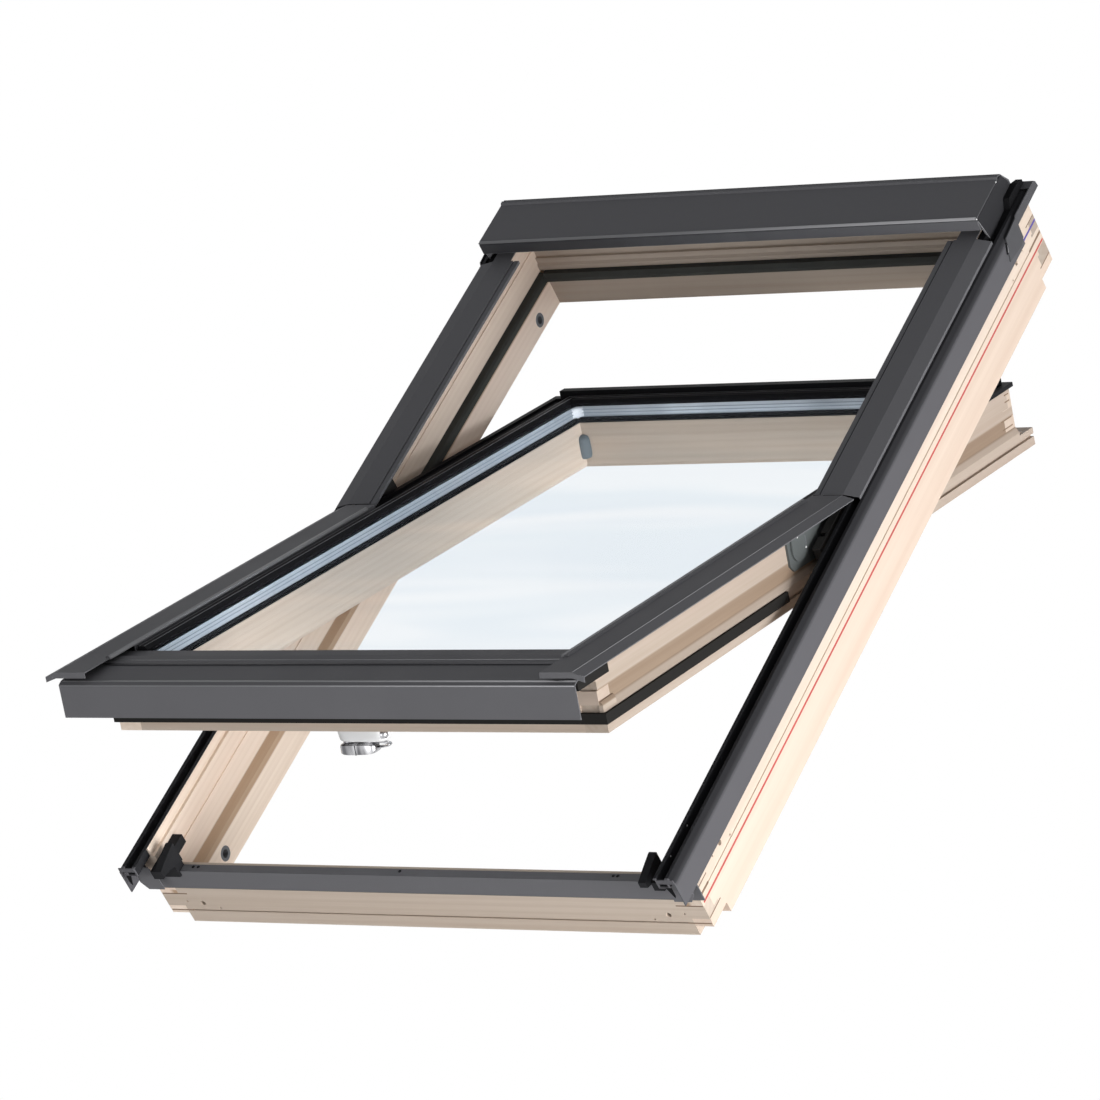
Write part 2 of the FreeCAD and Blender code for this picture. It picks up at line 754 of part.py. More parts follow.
def top_casing():
    front = casing_front
    top = casing_height
    back = half_length + sheet_thickness
    bead = casing_bead_place
    path = [
        (front, casing_lip, 1, 0),
        (front, top - casing_fold, 1, -0.4),
        (front + casing_fold, top, 0.4, -1),
        (bead, top, 0.4, -1),
        (bead + 2, top + 2.5, 0, -1),
        (bead + 6, top + 2.5, 0, -1),
        (bead + 8, top, 0, -1),
        (casing_back, top, -0.6, -1),
        (back, casing_back_fold, -1, -0.5),
        (back, casing_back_low, -1, 0),
    ]
    body = bar_along("top_casing", folded(path, sheet_thickness), -casing_half_width,
                     casing_half_width)
    end_plate = [
        (front + 1, top - casing_fold),
        (front + casing_end_slant, casing_end_low),
        (back - 4, casing_end_low),
        (back - 4, casing_back_fold),
        (casing_back - 1, top - 1),
        (front + casing_fold, top - 1),
    ]
    for side in (-1, 1):
        start, end = span(side, casing_half_width - sheet_thickness, casing_half_width)
        add_pad(body, "YZ_Plane", [end_plate], start, end)
    return body


def casing_bracket(name, side):
    """Plate outside the side cladding, with a foot that rests on the cladding's rim."""
    foot_low = cladding_rim + bracket_foot_play
    foot_top = foot_low + sheet_thickness
    outline = [
        (bracket_low_end, bracket_low + 5),
        (bracket_low_end + 12, bracket_top),
        (bracket_waist, bracket_top + 2.5),
        (bracket_waist + 4, foot_top),
        (bracket_top_end - 4, foot_top),
        (bracket_top_end, foot_top - 4),
        (bracket_top_end + 2, bracket_strip_low + 1),
        (bracket_waist + 1, bracket_strip_low),
        (bracket_waist, bracket_low + 5),
        (bracket_waist - 10, bracket_low),
    ]
    body = new_body(f"{name}_casing_bracket")
    start, end = span(side, cladding_face, cladding_face + sheet_thickness)
    add_pad(body, "YZ_Plane", [outline], start, end)
    foot = rectangle(side * (casing_half_width + bracket_foot_inset), side * cladding_face,
                     foot_low, foot_top)
    foot_end = bracket_top_end - 4
    add_pad(body, "XZ_Plane", [foot], foot_end - bracket_foot_length, foot_end)
    return body


def corner_block(name, side):
    """Black plastic block that closes the corner between the bottom and side claddings."""
    outer = -half_length
    shelf = rail_seat + sheet_thickness
    hook = [
        (outer - block_front, block_low),
        (outer - block_front, shelf + block_step),
        (-half_length + bottom_cladding_shelf, shelf + block_step),
        (-half_length + bottom_cladding_shelf, shelf),
        (outer, shelf),
        (outer, block_low),
    ]
    body = new_body(f"{name}_corner_block")
    start, end = span(side, block_inner, band_face)
    add_pad(body, "YZ_Plane", [hook], start, end)
    shoulder = shelf + block_step
    nose_inner = block_inner + block_nose_width
    ledge = rectangle(side * nose_inner, side * band_face, shoulder, block_top)
    add_pad(body, "XZ_Plane", [ledge], -block_ledge_reach, -block_back)
    nose = [
        (-block_post_back, shoulder),
        (outer - block_front, shoulder),
        (outer - block_front, block_top - block_nose_depth),
        (-block_nose_reach, block_top),
        (-block_nose_reach, block_top + block_nose_depth),
        (-half_length - block_nose_depth, block_post_top - block_front),
        (-block_post_back - block_front, block_post_top),
        (-block_post_back, block_post_top),
    ]
    start, end = span(side, block_inner, nose_inner)
    add_pad(body, "YZ_Plane", [nose], start, end)
    return body


def socket(label, place_along, level):
    """Metal bush in the left stile that takes the cleaning bolt."""
    body = new_body(label)
    start, end = span(-1, room_face, room_face + socket_depth)
    rings = [(place_along, level, socket_radius), (place_along, level, socket_bore)]
    return add_pad(body, "YZ_Plane", [], start, end, rings)


def arc_sketch(body, plane, offset, inner, outer, first_angle, last_angle):
    """A band of a ring about the sketch origin, between two radii and two angles."""
    sketch = new_sketch(body, plane, offset)
    zero = FreeCAD.Vector(0, 0, 0)
    up = FreeCAD.Vector(0, 0, 1)
    angles = [math.radians(first_angle.value), math.radians(last_angle.value)]
    for radius in (inner, outer):
        arc = Part.ArcOfCircle(Part.Circle(zero, up, radius.value), *angles)
        number = sketch.addGeometry(arc, False)
        sketch.addConstraint(Sketcher.Constraint("Coincident", number, 3, -1, 1))
        bind(sketch, "Radius", number, 0, radius)
    for point, angle in ((1, first_angle), (2, last_angle)):
        ends = [
            FreeCAD.Vector(radius.value * math.cos(math.radians(angle.value)),
                           radius.value * math.sin(math.radians(angle.value)), 0)
            for radius in (inner, outer)
        ]
        line = sketch.addGeometry(Part.LineSegment(*ends), False)
        sketch.addConstraint(Sketcher.Constraint("Coincident", line, 1, 0, point))
        sketch.addConstraint(Sketcher.Constraint("Coincident", line, 2, 1, point))
        bind(sketch, "DistanceX", line, 2, outer * cosine(angle))
        bind(sketch, "DistanceY", line, 1, inner * sine(angle))
    return sketch


def hinge_track(name, side):
    """Fixed half of the pivot: a plate with a half-round groove centred on the pivot line."""
    back = neck_face
    face = neck_face - track_thickness
    body = new_body(f"{name}_hinge_track")
    outline = [
        (axis_slope - track_half_length, track_top),
        (axis_slope - track_half_length, track_low + 25),
        (axis_slope - track_half_length + 30, track_low),
        (axis_slope + track_half_length - 30, track_low),
        (axis_slope + track_half_length, track_low + 25),
        (axis_slope + track_half_length, track_top),
    ]
    start, end = span(side, face, back)
    add_pad(body, "YZ_Plane", [outline], start, end)
    inner = track_radius - tongue_width / 2 - tongue_play
    outer = track_radius + tongue_width / 2 + tongue_play
    start, end = span(side, face, face + track_depth)
    sketch = new_sketch(body, "YZ_Plane", end)
    sketch.setExpression("AttachmentOffset.Base.x", axis_slope.formula)
    sketch.setExpression("AttachmentOffset.Base.y", axis_height.formula)
    centre = FreeCAD.Vector(0, 0, 0)
    number = {}
    for key, radius in (("inner", inner), ("outer", outer)):
        circle = Part.Circle(centre, FreeCAD.Vector(0, 0, 1), radius.value)
        number[key] = sketch.addGeometry(circle, False)
        sketch.addConstraint(Sketcher.Constraint("Coincident", number[key], 3, -1, 1))
        bind(sketch, "Radius", number[key], 0, radius)
    pocket = body.newObject("PartDesign::Pocket", body.Name + "_groove")
    pocket.Profile = sketch
    pocket.setExpression("Length", track_depth.formula)
    body.Tip = pocket
    return body


def hinge_arm(name, side):
    """Moving half of the pivot: a plate on the sash with a curved tongue and the brake disc."""
    body = new_body(f"{name}_hinge_arm", True)
    outline = [
        (-arm_low_end, -arm_high),
        (-arm_low_end, -arm_low + 8),
        (-arm_low_end + 8, -arm_low),
        (arm_high_end - 8, -arm_low),
        (arm_high_end, -arm_low + 8),
        (arm_high_end, -arm_high),
    ]
    start, end = span(side, sash_side, sash_side + arm_thickness)
    add_pad(body, "YZ_Plane", [outline], start, end)
    disc_face = sash_side + arm_thickness + disc_thickness
    start, end = span(side, sash_side + arm_thickness, disc_face)
    add_pad(body, "YZ_Plane", [], start, end, [(-disc_place, -disc_drop, disc_radius)])
    groove_floor = neck_face - track_thickness + track_depth
    start, end = span(side, sash_side + arm_thickness, groove_floor - 1)
    inner = track_radius - tongue_width / 2
    outer = track_radius + tongue_width / 2
    sketch = arc_sketch(body, "YZ_Plane", start, inner, outer, tongue_start, tongue_end)
    pad = body.newObject("PartDesign::Pad", body.Name + "_tongue")
    pad.Profile = sketch
    pad.setExpression("Length", (end - start).formula)
    body.Tip = pad
    return body


# Sash: rails and stiles with the same box joints
def sash_stile_section():
    inner = daylight_half
    rebate = inner + rebate_width
    slot = sash_lip - slot_depth
    return [
        (sash_side, -sash_wood_top),
        (sash_side, -sash_flare_start),
        (sash_lip, -sash_flare_end),
        (sash_lip, -slot_high),
        (slot, -slot_high),
        (slot, -slot_low),
        (sash_lip, -slot_low),
        (sash_lip, -sash_depth),
        (inner + room_chamfer, -sash_depth),
        (inner, -sash_depth + room_chamfer),
        (inner, -glass_floor),
        (rebate, -glass_floor),
        (rebate, -sash_wood_top),
    ]


def sash_bottom_rail():
    outer = -sash_bottom
    inner = outer + sash_rail_width
    section = [
        (outer, -sash_wood_top),
        (outer, -slot_low),
        (-sash_lip_bottom, -slot_low),
        (-sash_lip_bottom, -sash_depth),
        (inner - room_chamfer, -sash_depth),
        (inner, -sash_depth + room_chamfer),
        (inner, -glass_floor),
        (inner - rebate_width, -glass_floor),
        (inner - rebate_width, -sash_wood_top),
    ]
    rail = bar_along("sash_bottom_rail", section, -sash_side, sash_side, True)
    shoulder = sash_side - sash_shoulder_depth
    finger_slots(rail, outer, inner, shoulder, sash_side, sash_bands())
    return rail


def sash_bands():
    """Levels at a sash rail's end that belong to the stile's fingers."""
    low, high = sash_fingers
    return [(-sash_depth, -low[0]), (-low[1], -high[0]), (-high[1], -sash_wood_top)]


def sash_top_rail():
    outer = sash_top
    inner = outer - sash_rail_width
    section = [
        (outer, -sash_wood_top),
        (outer, -flange_level + 2),
        (sash_lip_top, -flange_level - 2),
        (sash_lip_top, -sash_depth),
        (inner + room_chamfer, -sash_depth),
        (inner, -sash_depth + room_chamfer),
        (inner, -glass_floor),
        (inner + rebate_width, -glass_floor),
        (inner + rebate_width, -sash_wood_top),
    ]
    rail = bar_along("sash_top_rail", section, -sash_side, sash_side, True)
    shoulder = sash_side - sash_shoulder_depth
    finger_slots(rail, inner, outer, shoulder, sash_side, sash_bands())
    return rail


def sash_stile(name, side, rails):
    blank = bar_across(f"sash_{name}_stile_blank", mirrored(side, sash_stile_section()),
                       -sash_lip_bottom, sash_lip_top, True)
    above = rectangle(side * (daylight_half - 1), side * (sash_lip + 1), -flange_level, 0)
    add_pocket(blank, "XZ_Plane", [above], sash_top, sash_lip_top)
    first = cut_by(f"sash_{name}_stile_upper", blank, rails[0])
    return cut_by(f"sash_{name}_stile", first, rails[1])


def glass_ring(label, half_outer, half_inner, inset, low, high):
    """A rectangular ring round the glass; inset is how far it stays inside the glass edge."""
    top_outer = sash_top - sash_rail_width + rebate_width - edge_play - inset
    bottom_outer = -sash_bottom + sash_rail_width - rebate_width + edge_play + inset
    width = half_outer - half_inner
    outer = rectangle(-half_outer, half_outer, bottom_outer, top_outer)
    inner = rectangle(-half_inner, half_inner, bottom_outer + width, top_outer - width)
    return add_pad(new_body(label, True), "XY_Plane", [outer, inner], low, high)


def glass_pane(label, low, high):
    half = daylight_half + rebate_width - edge_play
    top_edge = sash_top - sash_rail_width + rebate_width - edge_play
    bottom_edge = -sash_bottom + sash_rail_width - rebate_width + edge_play
    outline = rectangle(-half, half, bottom_edge, top_edge)
    return add_pad(new_body(label, True), "XY_Plane", [outline], low, high)


def glass_unit():
    half = daylight_half + rebate_width - edge_play
    seal_top = -glass_floor + glazing_seal
    cavity_low = seal_top + pane
    cavity_high = cavity_low + cavity
    spacer_inner = daylight_half + spacer_sight
    spacer_outer = spacer_inner + spacer_width
    return [
        glass_ring("glazing_seal", half, daylight_half + 1, 0, -glass_floor, seal_top),
        glass_pane("inner_pane", seal_top, cavity_low),
        glass_ring("glass_spacer", spacer_outer, spacer_inner, half - spacer_outer,
                   cavity_low, cavity_high),
        glass_pane("outer_pane", cavity_high, cavity_high + pane),
    ]


def sash_cover(name, side):
    """Cover of the lower half, carried by the sash, with a round bead near its inner edge."""
    thick = cover_thickness
    outer = sash_cover_outer
    inner = cover_inner - 2.5
    folded_edge = [
        (outer, -cover_slope - thick),
        (outer, -cover_slope),
        (cover_flat, 0),
        (inner, 0),
    ]
    underside = (cover_flat - thick * 0.2, -thick)
    plate = folded_edge + [
        (inner, -profile_drop),
        (inner + thick, -profile_drop),
        (inner + thick, -thick),
        underside,
    ]
    tail = folded_edge + [(inner, -thick), underside]
    bead = [
        (inner, -thick / 2),
        (inner + 2, bead_height),
        (inner + 5, bead_height),
        (inner + 7, -thick / 2),
    ]
    end_fold = folded_edge[1:] + [
        (inner, -cover_end_lip),
        (cover_flat, -cover_end_lip),
        (outer, -cover_slope - cover_end_lip),
    ]
    body = new_body(f"{name}_sash_cover", True)
    add_pad(body, "XZ_Plane", [mirrored(side, plate)], -bottom_cladding_inner, -cover_joint_gap)
    add_pad(body, "XZ_Plane", [mirrored(side, tail)], -sash_cover_end, -bottom_cladding_inner)
    add_pad(body, "XZ_Plane", [mirrored(side, end_fold)], -sash_cover_end,
            -sash_cover_end + thick)
    add_pad(body, "XZ_Plane", [mirrored(side, bead)], -bead_end, -bead_start)
    return body


def sash_profile(name, side):
    """Black glazing profile along the side of the glass, with a lip over the wood's edge."""
    lip_face = sash_side + profile_lip_reach
    section = [
        (lip_face, -sash_wood_top),
        (lip_face, -profile_lip_height),
        (lip_face - profile_lip_width, -profile_lip_height),
        (lip_face - profile_lip_width, -profile_drop),
        (profile_ridge_outer + 3, -profile_drop),
        (profile_ridge_outer, -profile_ridge),
        (profile_ridge_inner, -profile_ridge),
        (profile_reach, -profile_drop + 2),
        (profile_reach, -sash_wood_top),
    ]
    return bar_across(f"sash_{name}_profile", mirrored(side, section),
                      -bottom_cladding_inner, profile_top_end, True)


def sash_top_cladding():
    inner_part = [
        (top_cladding_reach, -sash_wood_top),
        (top_cladding_reach, -profile_drop + 2),
        (top_cladding_reach + 4, -profile_ridge),
        (profile_top_end, -profile_ridge),
        (profile_top_end, -sash_wood_top),
    ]
    outer_part = rectangle(profile_top_end, top_cladding_end, -sash_wood_top, top_cladding_rise)
    corner_part = rectangle(profile_top_end, top_cladding_end, -sash_wood_top, -profile_lip_height)
    raised_half = sash_side - top_cladding_corner
    corner_half = sash_side + profile_lip_reach
    body = new_body("sash_top_cladding", True)
    add_pad(body, "YZ_Plane", [outer_part], -raised_half, raised_half)
    add_pad(body, "YZ_Plane", [corner_part], -corner_half, corner_half)
    add_pad(body, "YZ_Plane", [inner_part], -profile_reach, profile_reach)
    return body


def sash_bottom_cladding():
    """Folded apron over the sash's lower edge, which drips clear of the frame."""
    thick = sheet_thickness
    inner = -bottom_cladding_inner
    rail_top_inner = -sash_bottom + sash_rail_width - rebate_width
    shelf = -profile_drop + 1
    outline = [
        (inner, -sash_wood_top),
        (inner, shelf),
        (-bottom_ridge_place + bottom_ridge_foot, shelf),
        (-bottom_ridge_place, -bottom_ridge),
        (-bottom_fold_place, -bottom_fold),
        (-bottom_front, -bottom_front_fold),
        (-bottom_front, -bottom_front_low),
        (-bottom_front + thick, -bottom_front_low),
        (-bottom_front + thick, -bottom_front_fold - thick * 0.6),
        (-bottom_fold_place + thick * 0.3, -bottom_fold - thick),
        (-sash_bottom - 2, -bottom_ridge - thick - 2),
        (-sash_bottom - 2, -sash_wood_top),
        (rail_top_inner, -sash_wood_top),
        (rail_top_inner, shelf - thick),
        (inner - thick, shelf - thick),
        (inner - thick, -sash_wood_top),
    ]
    return bar_along("sash_bottom_cladding", outline, -bottom_cladding_half,
                     bottom_cladding_half, True)


def sash_seal():
    """Rubber seal round the lower half of the sash."""
    front = -sash_bottom - sash_seal_front
    side_face = sash_lip + sash_seal_reach
    body = new_body("sash_seal", True)
    bottom = rectangle(front, -sash_bottom, -sash_seal_low, -sash_seal_high)
    add_pad(body, "YZ_Plane", [bottom], -side_face, side_face)
    for side in (-1, 1):
        strip = rectangle(side * sash_lip, side * side_face, -sash_seal_low, -sash_seal_high)
        add_pad(body, "XZ_Plane", [strip], front, -sash_seal_end)
    return body


def end_block(name, side):
    """Rubber block under the cover's lower end, inside the apron."""
    high = -bottom_fold - sheet_thickness - block_play
    outline = rectangle(side * end_block_inner, side * bottom_cladding_half,
                        high - end_block_depth, high)
    start = -bottom_fold_place
    return bar_across(f"{name}_end_block", outline, start, start + end_block_length, True)


def corner_plug(name, side):
    """Grey plug across the sash's upper inner corner."""
    corner_top = sash_top - sash_rail_width
    outline = [
        (side * daylight_half, corner_top),
        (side * (daylight_half - plug_leg), corner_top),
        (side * daylight_half, corner_top - plug_leg),
    ]
    return add_pad(new_body(f"{name}_corner_plug", True), "XY_Plane", [outline],
                   -plug_low, -plug_high)


# Handle on the sash's bottom rail
def handle_base():
    body = new_body("handle_base", True)
    high = -sash_depth
    low = -sash_depth - handle_height
    middle = -handle_place
    start = -handle_left + handle_radius
    end = handle_right - handle_radius
    block = rectangle(start, end, middle - handle_radius, middle + handle_radius)
    add_pad(body, "XY_Plane", [block], low, high)
    for centre in (start, end):
        add_pad(body, "XY_Plane", [], low, high, [(centre, middle, handle_radius)])
    return body


def handle_lever():
    body = new_body("handle_lever", True)
    base_low = -sash_depth - handle_height
    body_top = base_low - lever_gap
    body_low = -sash_depth - lever_depth
    spindle = [(-spindle_place, -handle_place, spindle_radius)]
    add_pad(body, "XY_Plane", [], body_top - 1, base_low - spindle_gap, spindle)
    outline = [
        (-handle_left + 2, body_top),
        (-handle_left + 1, body_low + 2),
        (-4, body_low),
        (lever_hub_end - 3, body_low + 1),
        (lever_hub_end + 2, body_low + 5),
        (lever_reach - 10, body_top - lever_thickness - 2),
        (lever_reach - 2, body_top - 1),
        (lever_reach, body_top + lever_rise),
        (lever_reach - lever_thickness, body_top + lever_rise),
        (lever_reach - lever_thickness - 1, body_top + 1),
        (lever_reach - 11, body_top - 2),
        (lever_hub_end - 6, body_top),
    ]
    half = lever_half_width
    return add_pad(body, "XZ_Plane", [outline], -handle_place - half, -handle_place + half)


nodes = []
frame_rails = [frame_top_rail(), frame_bottom_rail()]
nodes += frame_rails
nodes += [frame_stile(name, side, frame_rails) for name, side in SIDES]
nodes += [frame_seal(), frame_bottom_cladding(), top_casing()]
sash_rails = [sash_top_rail(), sash_bottom_rail()]
nodes += sash_rails
nodes += [sash_stile(name, side, sash_rails) for name, side in SIDES]
nodes += glass_unit()
nodes += [sash_top_cladding(), sash_bottom_cladding(), sash_seal()]
for name, side in SIDES:
    nodes.append(side_cladding(name, side))
    nodes.append(upper_cover(name, side))
    nodes.append(casing_bracket(name, side))
    nodes.append(corner_block(name, side))
    nodes.append(hinge_track(name, side))
    nodes.append(hinge_arm(name, side))
    nodes.append(sash_cover(name, side))
    nodes.append(sash_profile(name, side))
    nodes.append(end_block(name, side))
    nodes.append(corner_plug(name, side))
nodes.append(socket("upper_bolt_socket", upper_socket_place, upper_socket_level))
nodes.append(socket("lower_bolt_socket", -lower_socket_place, lower_socket_level))
nodes += [handle_base(), handle_lever()]

doc.recompute()

failed = [item.Name for item in doc.Objects if "Invalid" in item.State or "Error" in item.State]
if failed:
    raise RuntimeError("objects that did not compute: " + ", ".join(failed))
os.makedirs("parts", exist_ok=True)
for node in nodes:
    if node.Shape.isNull() or not node.Shape.isValid():
        raise RuntimeError("bad shape: " + node.Label)
    if len(node.Shape.Solids) != 1:
        raise RuntimeError(f"{node.Label} has {len(node.Shape.Solids)} solids")
    node.Shape.exportStep(f"parts/{node.Label}.step")
print(len(nodes), "nodes written")
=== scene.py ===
# %% [markdown]
# # A centre pivot roof window
# The object lies at its roof pitch and its sash stands open about a line halfway up the sides.
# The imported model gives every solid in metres. This lesson adds what a joiner, a glazier and a
# painter would add: grain, enamel, rubber, glass and the small fixings.

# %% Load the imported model
import math
import bpy
import numpy as np
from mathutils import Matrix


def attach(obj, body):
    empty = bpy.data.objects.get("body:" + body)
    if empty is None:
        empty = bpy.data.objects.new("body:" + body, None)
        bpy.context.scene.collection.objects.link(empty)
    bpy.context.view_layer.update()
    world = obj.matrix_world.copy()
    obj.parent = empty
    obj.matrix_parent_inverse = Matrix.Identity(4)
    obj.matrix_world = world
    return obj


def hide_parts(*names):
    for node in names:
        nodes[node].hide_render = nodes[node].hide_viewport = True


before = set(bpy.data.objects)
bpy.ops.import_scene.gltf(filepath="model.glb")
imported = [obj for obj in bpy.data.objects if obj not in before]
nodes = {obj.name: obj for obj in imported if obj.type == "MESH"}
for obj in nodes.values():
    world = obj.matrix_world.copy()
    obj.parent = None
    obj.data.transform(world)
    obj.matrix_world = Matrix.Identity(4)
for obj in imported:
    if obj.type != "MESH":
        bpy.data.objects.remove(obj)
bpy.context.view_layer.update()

# %% [markdown]
# ## Two sets of axes
# The frame is drawn in axes that lie in the roof: X to the right, a second axis up the slope and
# a third outward from the roof. The sash has axes of its own, whose origin is on the pivot line.
# Two small functions turn millimetres in those axes into metres in the scene.

# %% Window axes
MM = 1000.0
PITCH = math.radians(45.0)
OPENING = math.radians(25.1)
HALF_LENGTH = 589.0
BAND_LEVEL = 19.0
PIVOT_SLOPE = 12.0
PIVOT_HEIGHT = 118.6
ORIGIN = np.array([
    0.0,
    HALF_LENGTH * math.cos(PITCH) + BAND_LEVEL * math.sin(PITCH),
    HALF_LENGTH * math.sin(PITCH) - BAND_LEVEL * math.cos(PITCH),
])


def slope_axes(angle):
    """Rows are X, up the slope and outward, for a plane leaned back by the angle."""
    c, s = math.cos(angle), math.sin(angle)
    return np.array([[1.0, 0.0, 0.0], [0.0, c, s], [0.0, -s, c]])


FRAME_AXES = slope_axes(PITCH)
SASH_AXES = slope_axes(PITCH - OPENING)
PIVOT = ORIGIN + np.array([0.0, PIVOT_SLOPE, PIVOT_HEIGHT]) @ FRAME_AXES


def in_frame(points):
    """Frame millimetres to scene metres: origin plus each coordinate times its axis."""
    return (ORIGIN + np.asarray(points, float) @ FRAME_AXES) / MM


def in_sash(points):
    """Sash millimetres to scene metres, measured from the pivot line."""
    return (PIVOT + np.asarray(points, float) @ SASH_AXES) / MM


print("pivot line at", (PIVOT / MM).round(4))

# %% [markdown]
# ## The camera
# The camera was fitted to the window's corners: it stands seven metres away, low and to the
# right, and sees the frame from outside. A long lens keeps the rails nearly parallel.

# %% Camera
PHOTO_SIDE = 1100.0
FOCAL_PIXELS = 5802.6
CENTRE_PIXEL = (563.6, 536.1)
camera_data = bpy.data.cameras.new("view_camera")
camera = bpy.data.objects.new("view_camera", camera_data)
bpy.context.scene.collection.objects.link(camera)
bpy.context.scene.camera = camera
camera.location = (3.88984, -5.75228, 0.22900)
camera.rotation_euler = [math.radians(a) for a in (91.74963, -0.21723, 32.73305)]
camera_data.sensor_width = 36.0
camera_data.lens = camera_data.sensor_width * FOCAL_PIXELS / PHOTO_SIDE
camera_data.shift_x = (PHOTO_SIDE / 2 - CENTRE_PIXEL[0]) / PHOTO_SIDE
camera_data.shift_y = (CENTRE_PIXEL[1] - PHOTO_SIDE / 2) / PHOTO_SIDE
camera_data.clip_end = 200.0
print("lens", round(camera_data.lens, 1), "mm")

# %% [markdown]
# ## Node helpers
# A finish is a small tree of nodes. These functions add a node, set it and join it in one line,
# so that the later cells show only what is mixed with what. Effects that come back in several
# finishes are node groups with named sockets, built once; a group hands out only colours, masks
# and heights, and the shader stays in the material.

# %% Node helpers
VECTOR, COLOUR, FLOAT = "NodeSocketVector", "NodeSocketColor", "NodeSocketFloat"
EFFECT_OUTPUTS = [("Color", COLOUR), ("Height", FLOAT), ("Roughness", FLOAT)]


def new_material(name):
    """An empty node material; returns it with its node tree and output node."""
    material = bpy.data.materials.new(name)
    material.use_nodes = True
    tree = material.node_tree
    tree.nodes.clear()
    return material, tree, tree.nodes.new("ShaderNodeOutputMaterial")


def group_tree(name, inputs, outputs):
    """A shader node group with named sockets: inputs are (name, type, default)."""
    tree = bpy.data.node_groups.new(name, "ShaderNodeTree")
    for label, kind, value in inputs:
        item = tree.interface.new_socket(label, in_out="INPUT", socket_type=kind)
        if value is not None:
            item.default_value = value
    for label, kind in outputs:
        tree.interface.new_socket(label, in_out="OUTPUT", socket_type=kind)
    return tree, tree.nodes.new("NodeGroupInput").outputs, tree.nodes.new("NodeGroupOutput")


def add(tree, kind, links=(), **settings):
    """Add a node, set its attributes, then link or set each (socket, source) of its inputs."""
    node = tree.nodes.new(kind)
    for key, value in settings.items():
        setattr(node, key, value)
    for socket, source in links:
        if hasattr(source, "is_output"):
            tree.links.new(source, node.inputs[socket])
        else:
            node.inputs[socket].default_value = source
    return node


def maths(tree, operation, *sources):
    """Output of one Math node."""
    return add(tree, "ShaderNodeMath", enumerate(sources), operation=operation).outputs[0]


def mix_colour(tree, factor, first, second, blend="MIX"):
    node = add(tree, "ShaderNodeMix", data_type="RGBA", blend_type=blend)
    for index, source in ((0, factor), (6, first), (7, second)):
        if hasattr(source, "is_output"):
            tree.links.new(source, node.inputs[index])
        else:
            node.inputs[index].default_value = source
    return node.outputs[2]


def mapped(tree, vector, **sockets):
    return add(tree, "ShaderNodeMapping", [("Vector", vector), *sockets.items()]).outputs[0]


def noise(tree, vector, scale, detail, distortion=0.0):
    return add(tree, "ShaderNodeTexNoise", [("Vector", vector), ("Scale", scale),
                                            ("Detail", detail),
                                            ("Distortion", distortion)]).outputs[0]


def rescale(tree, value, low, high, to_low=0.0, to_high=1.0):
    return add(tree, "ShaderNodeMapRange", [("Value", value), ("From Min", low),
                                            ("From Max", high), ("To Min", to_low),
                                            ("To Max", to_high)]).outputs[0]


def ramp(tree, source, stops):
    """Colour ramp over stops of (place, grey)."""
    node = add(tree, "ShaderNodeValToRGB", [("Fac", source)])
    elements = node.color_ramp.elements
    while len(elements) < len(stops):
        elements.new(0.5)
    for element, (place, grey) in zip(elements, stops):
        element.position = place
        element.color = (grey, grey, grey, 1)
    return node.outputs["Color"]


def shifted(tree, given, axes):
    """A group's Vector moved by its Shift along the given axes."""
    step = add(tree, "ShaderNodeCombineXYZ", [(axis, given["Shift"]) for axis in axes])
    return add(tree, "ShaderNodeVectorMath", [(0, given["Vector"]), (1, step.outputs[0])],
               operation="ADD").outputs[0]


def give(tree, out, **sources):
    """Join the named sources to a group's outputs."""
    for label, source in sources.items():
        tree.links.new(source, out.inputs[label])


def mixed_output(tree, output, factor, first, second):
    """Mix two shader nodes by the factor and join the mix to the output."""
    mix = add(tree, "ShaderNodeMixShader", [(0, factor), (1, first.outputs[0]),
                                            (2, second.outputs[0])])
    tree.links.new(mix.outputs[0], output.inputs["Surface"])


print("node helpers ready")

# %% [markdown]
# ## Floor and light
# The studio is plain: a pale floor well below the window, and soft lamps that leave a colour
# about as it is written. The world and the floor are white only for the rays that show the
# background, so no extra light falls on the object.

# %% Floor and world
def background_ray(tree):
    """Factor that is one for camera, mirror and glass rays and nought for all others."""
    path = tree.nodes.new("ShaderNodeLightPath").outputs
    seen = maths(tree, "MAXIMUM", path["Is Camera Ray"], path["Is Glossy Ray"])
    return maths(tree, "MAXIMUM", seen, path["Is Transmission Ray"])


FLOOR_HALF, FLOOR_LEVEL = 60.0, -1.7
floor_mesh = bpy.data.meshes.new("studio_floor")
floor_mesh.from_pydata(
    [(x * FLOOR_HALF, y * FLOOR_HALF, FLOOR_LEVEL)
     for x, y in ((-1, -1), (1, -1), (1, 1), (-1, 1))], [], [(0, 1, 2, 3)])
floor = bpy.data.objects.new("studio_floor", floor_mesh)
bpy.context.scene.collection.objects.link(floor)
material, tree, output = new_material("studio_floor")
pale = add(tree, "ShaderNodeBsdfDiffuse", [("Color", (0.82, 0.82, 0.82, 1))])
glow = add(tree, "ShaderNodeEmission", [("Color", (1, 1, 1, 1))])
mixed_output(tree, output, background_ray(tree), pale, glow)
floor_mesh.materials.append(material)

world = bpy.data.worlds.new("studio_world")
bpy.context.scene.world = world
world.use_nodes = True
tree = world.node_tree
tree.nodes.clear()
output = tree.nodes.new("ShaderNodeOutputWorld")
fill = add(tree, "ShaderNodeBackground", [("Color", (0.96, 0.98, 1.0, 1)), ("Strength", 0.28)])
backdrop = add(tree, "ShaderNodeBackground", [("Color", (1, 1, 1, 1)), ("Strength", 1.0)])
mixed_output(tree, output, background_ray(tree), fill, backdrop)
print("floor at", FLOOR_LEVEL, "m, fill strength", fill.inputs["Strength"].default_value)

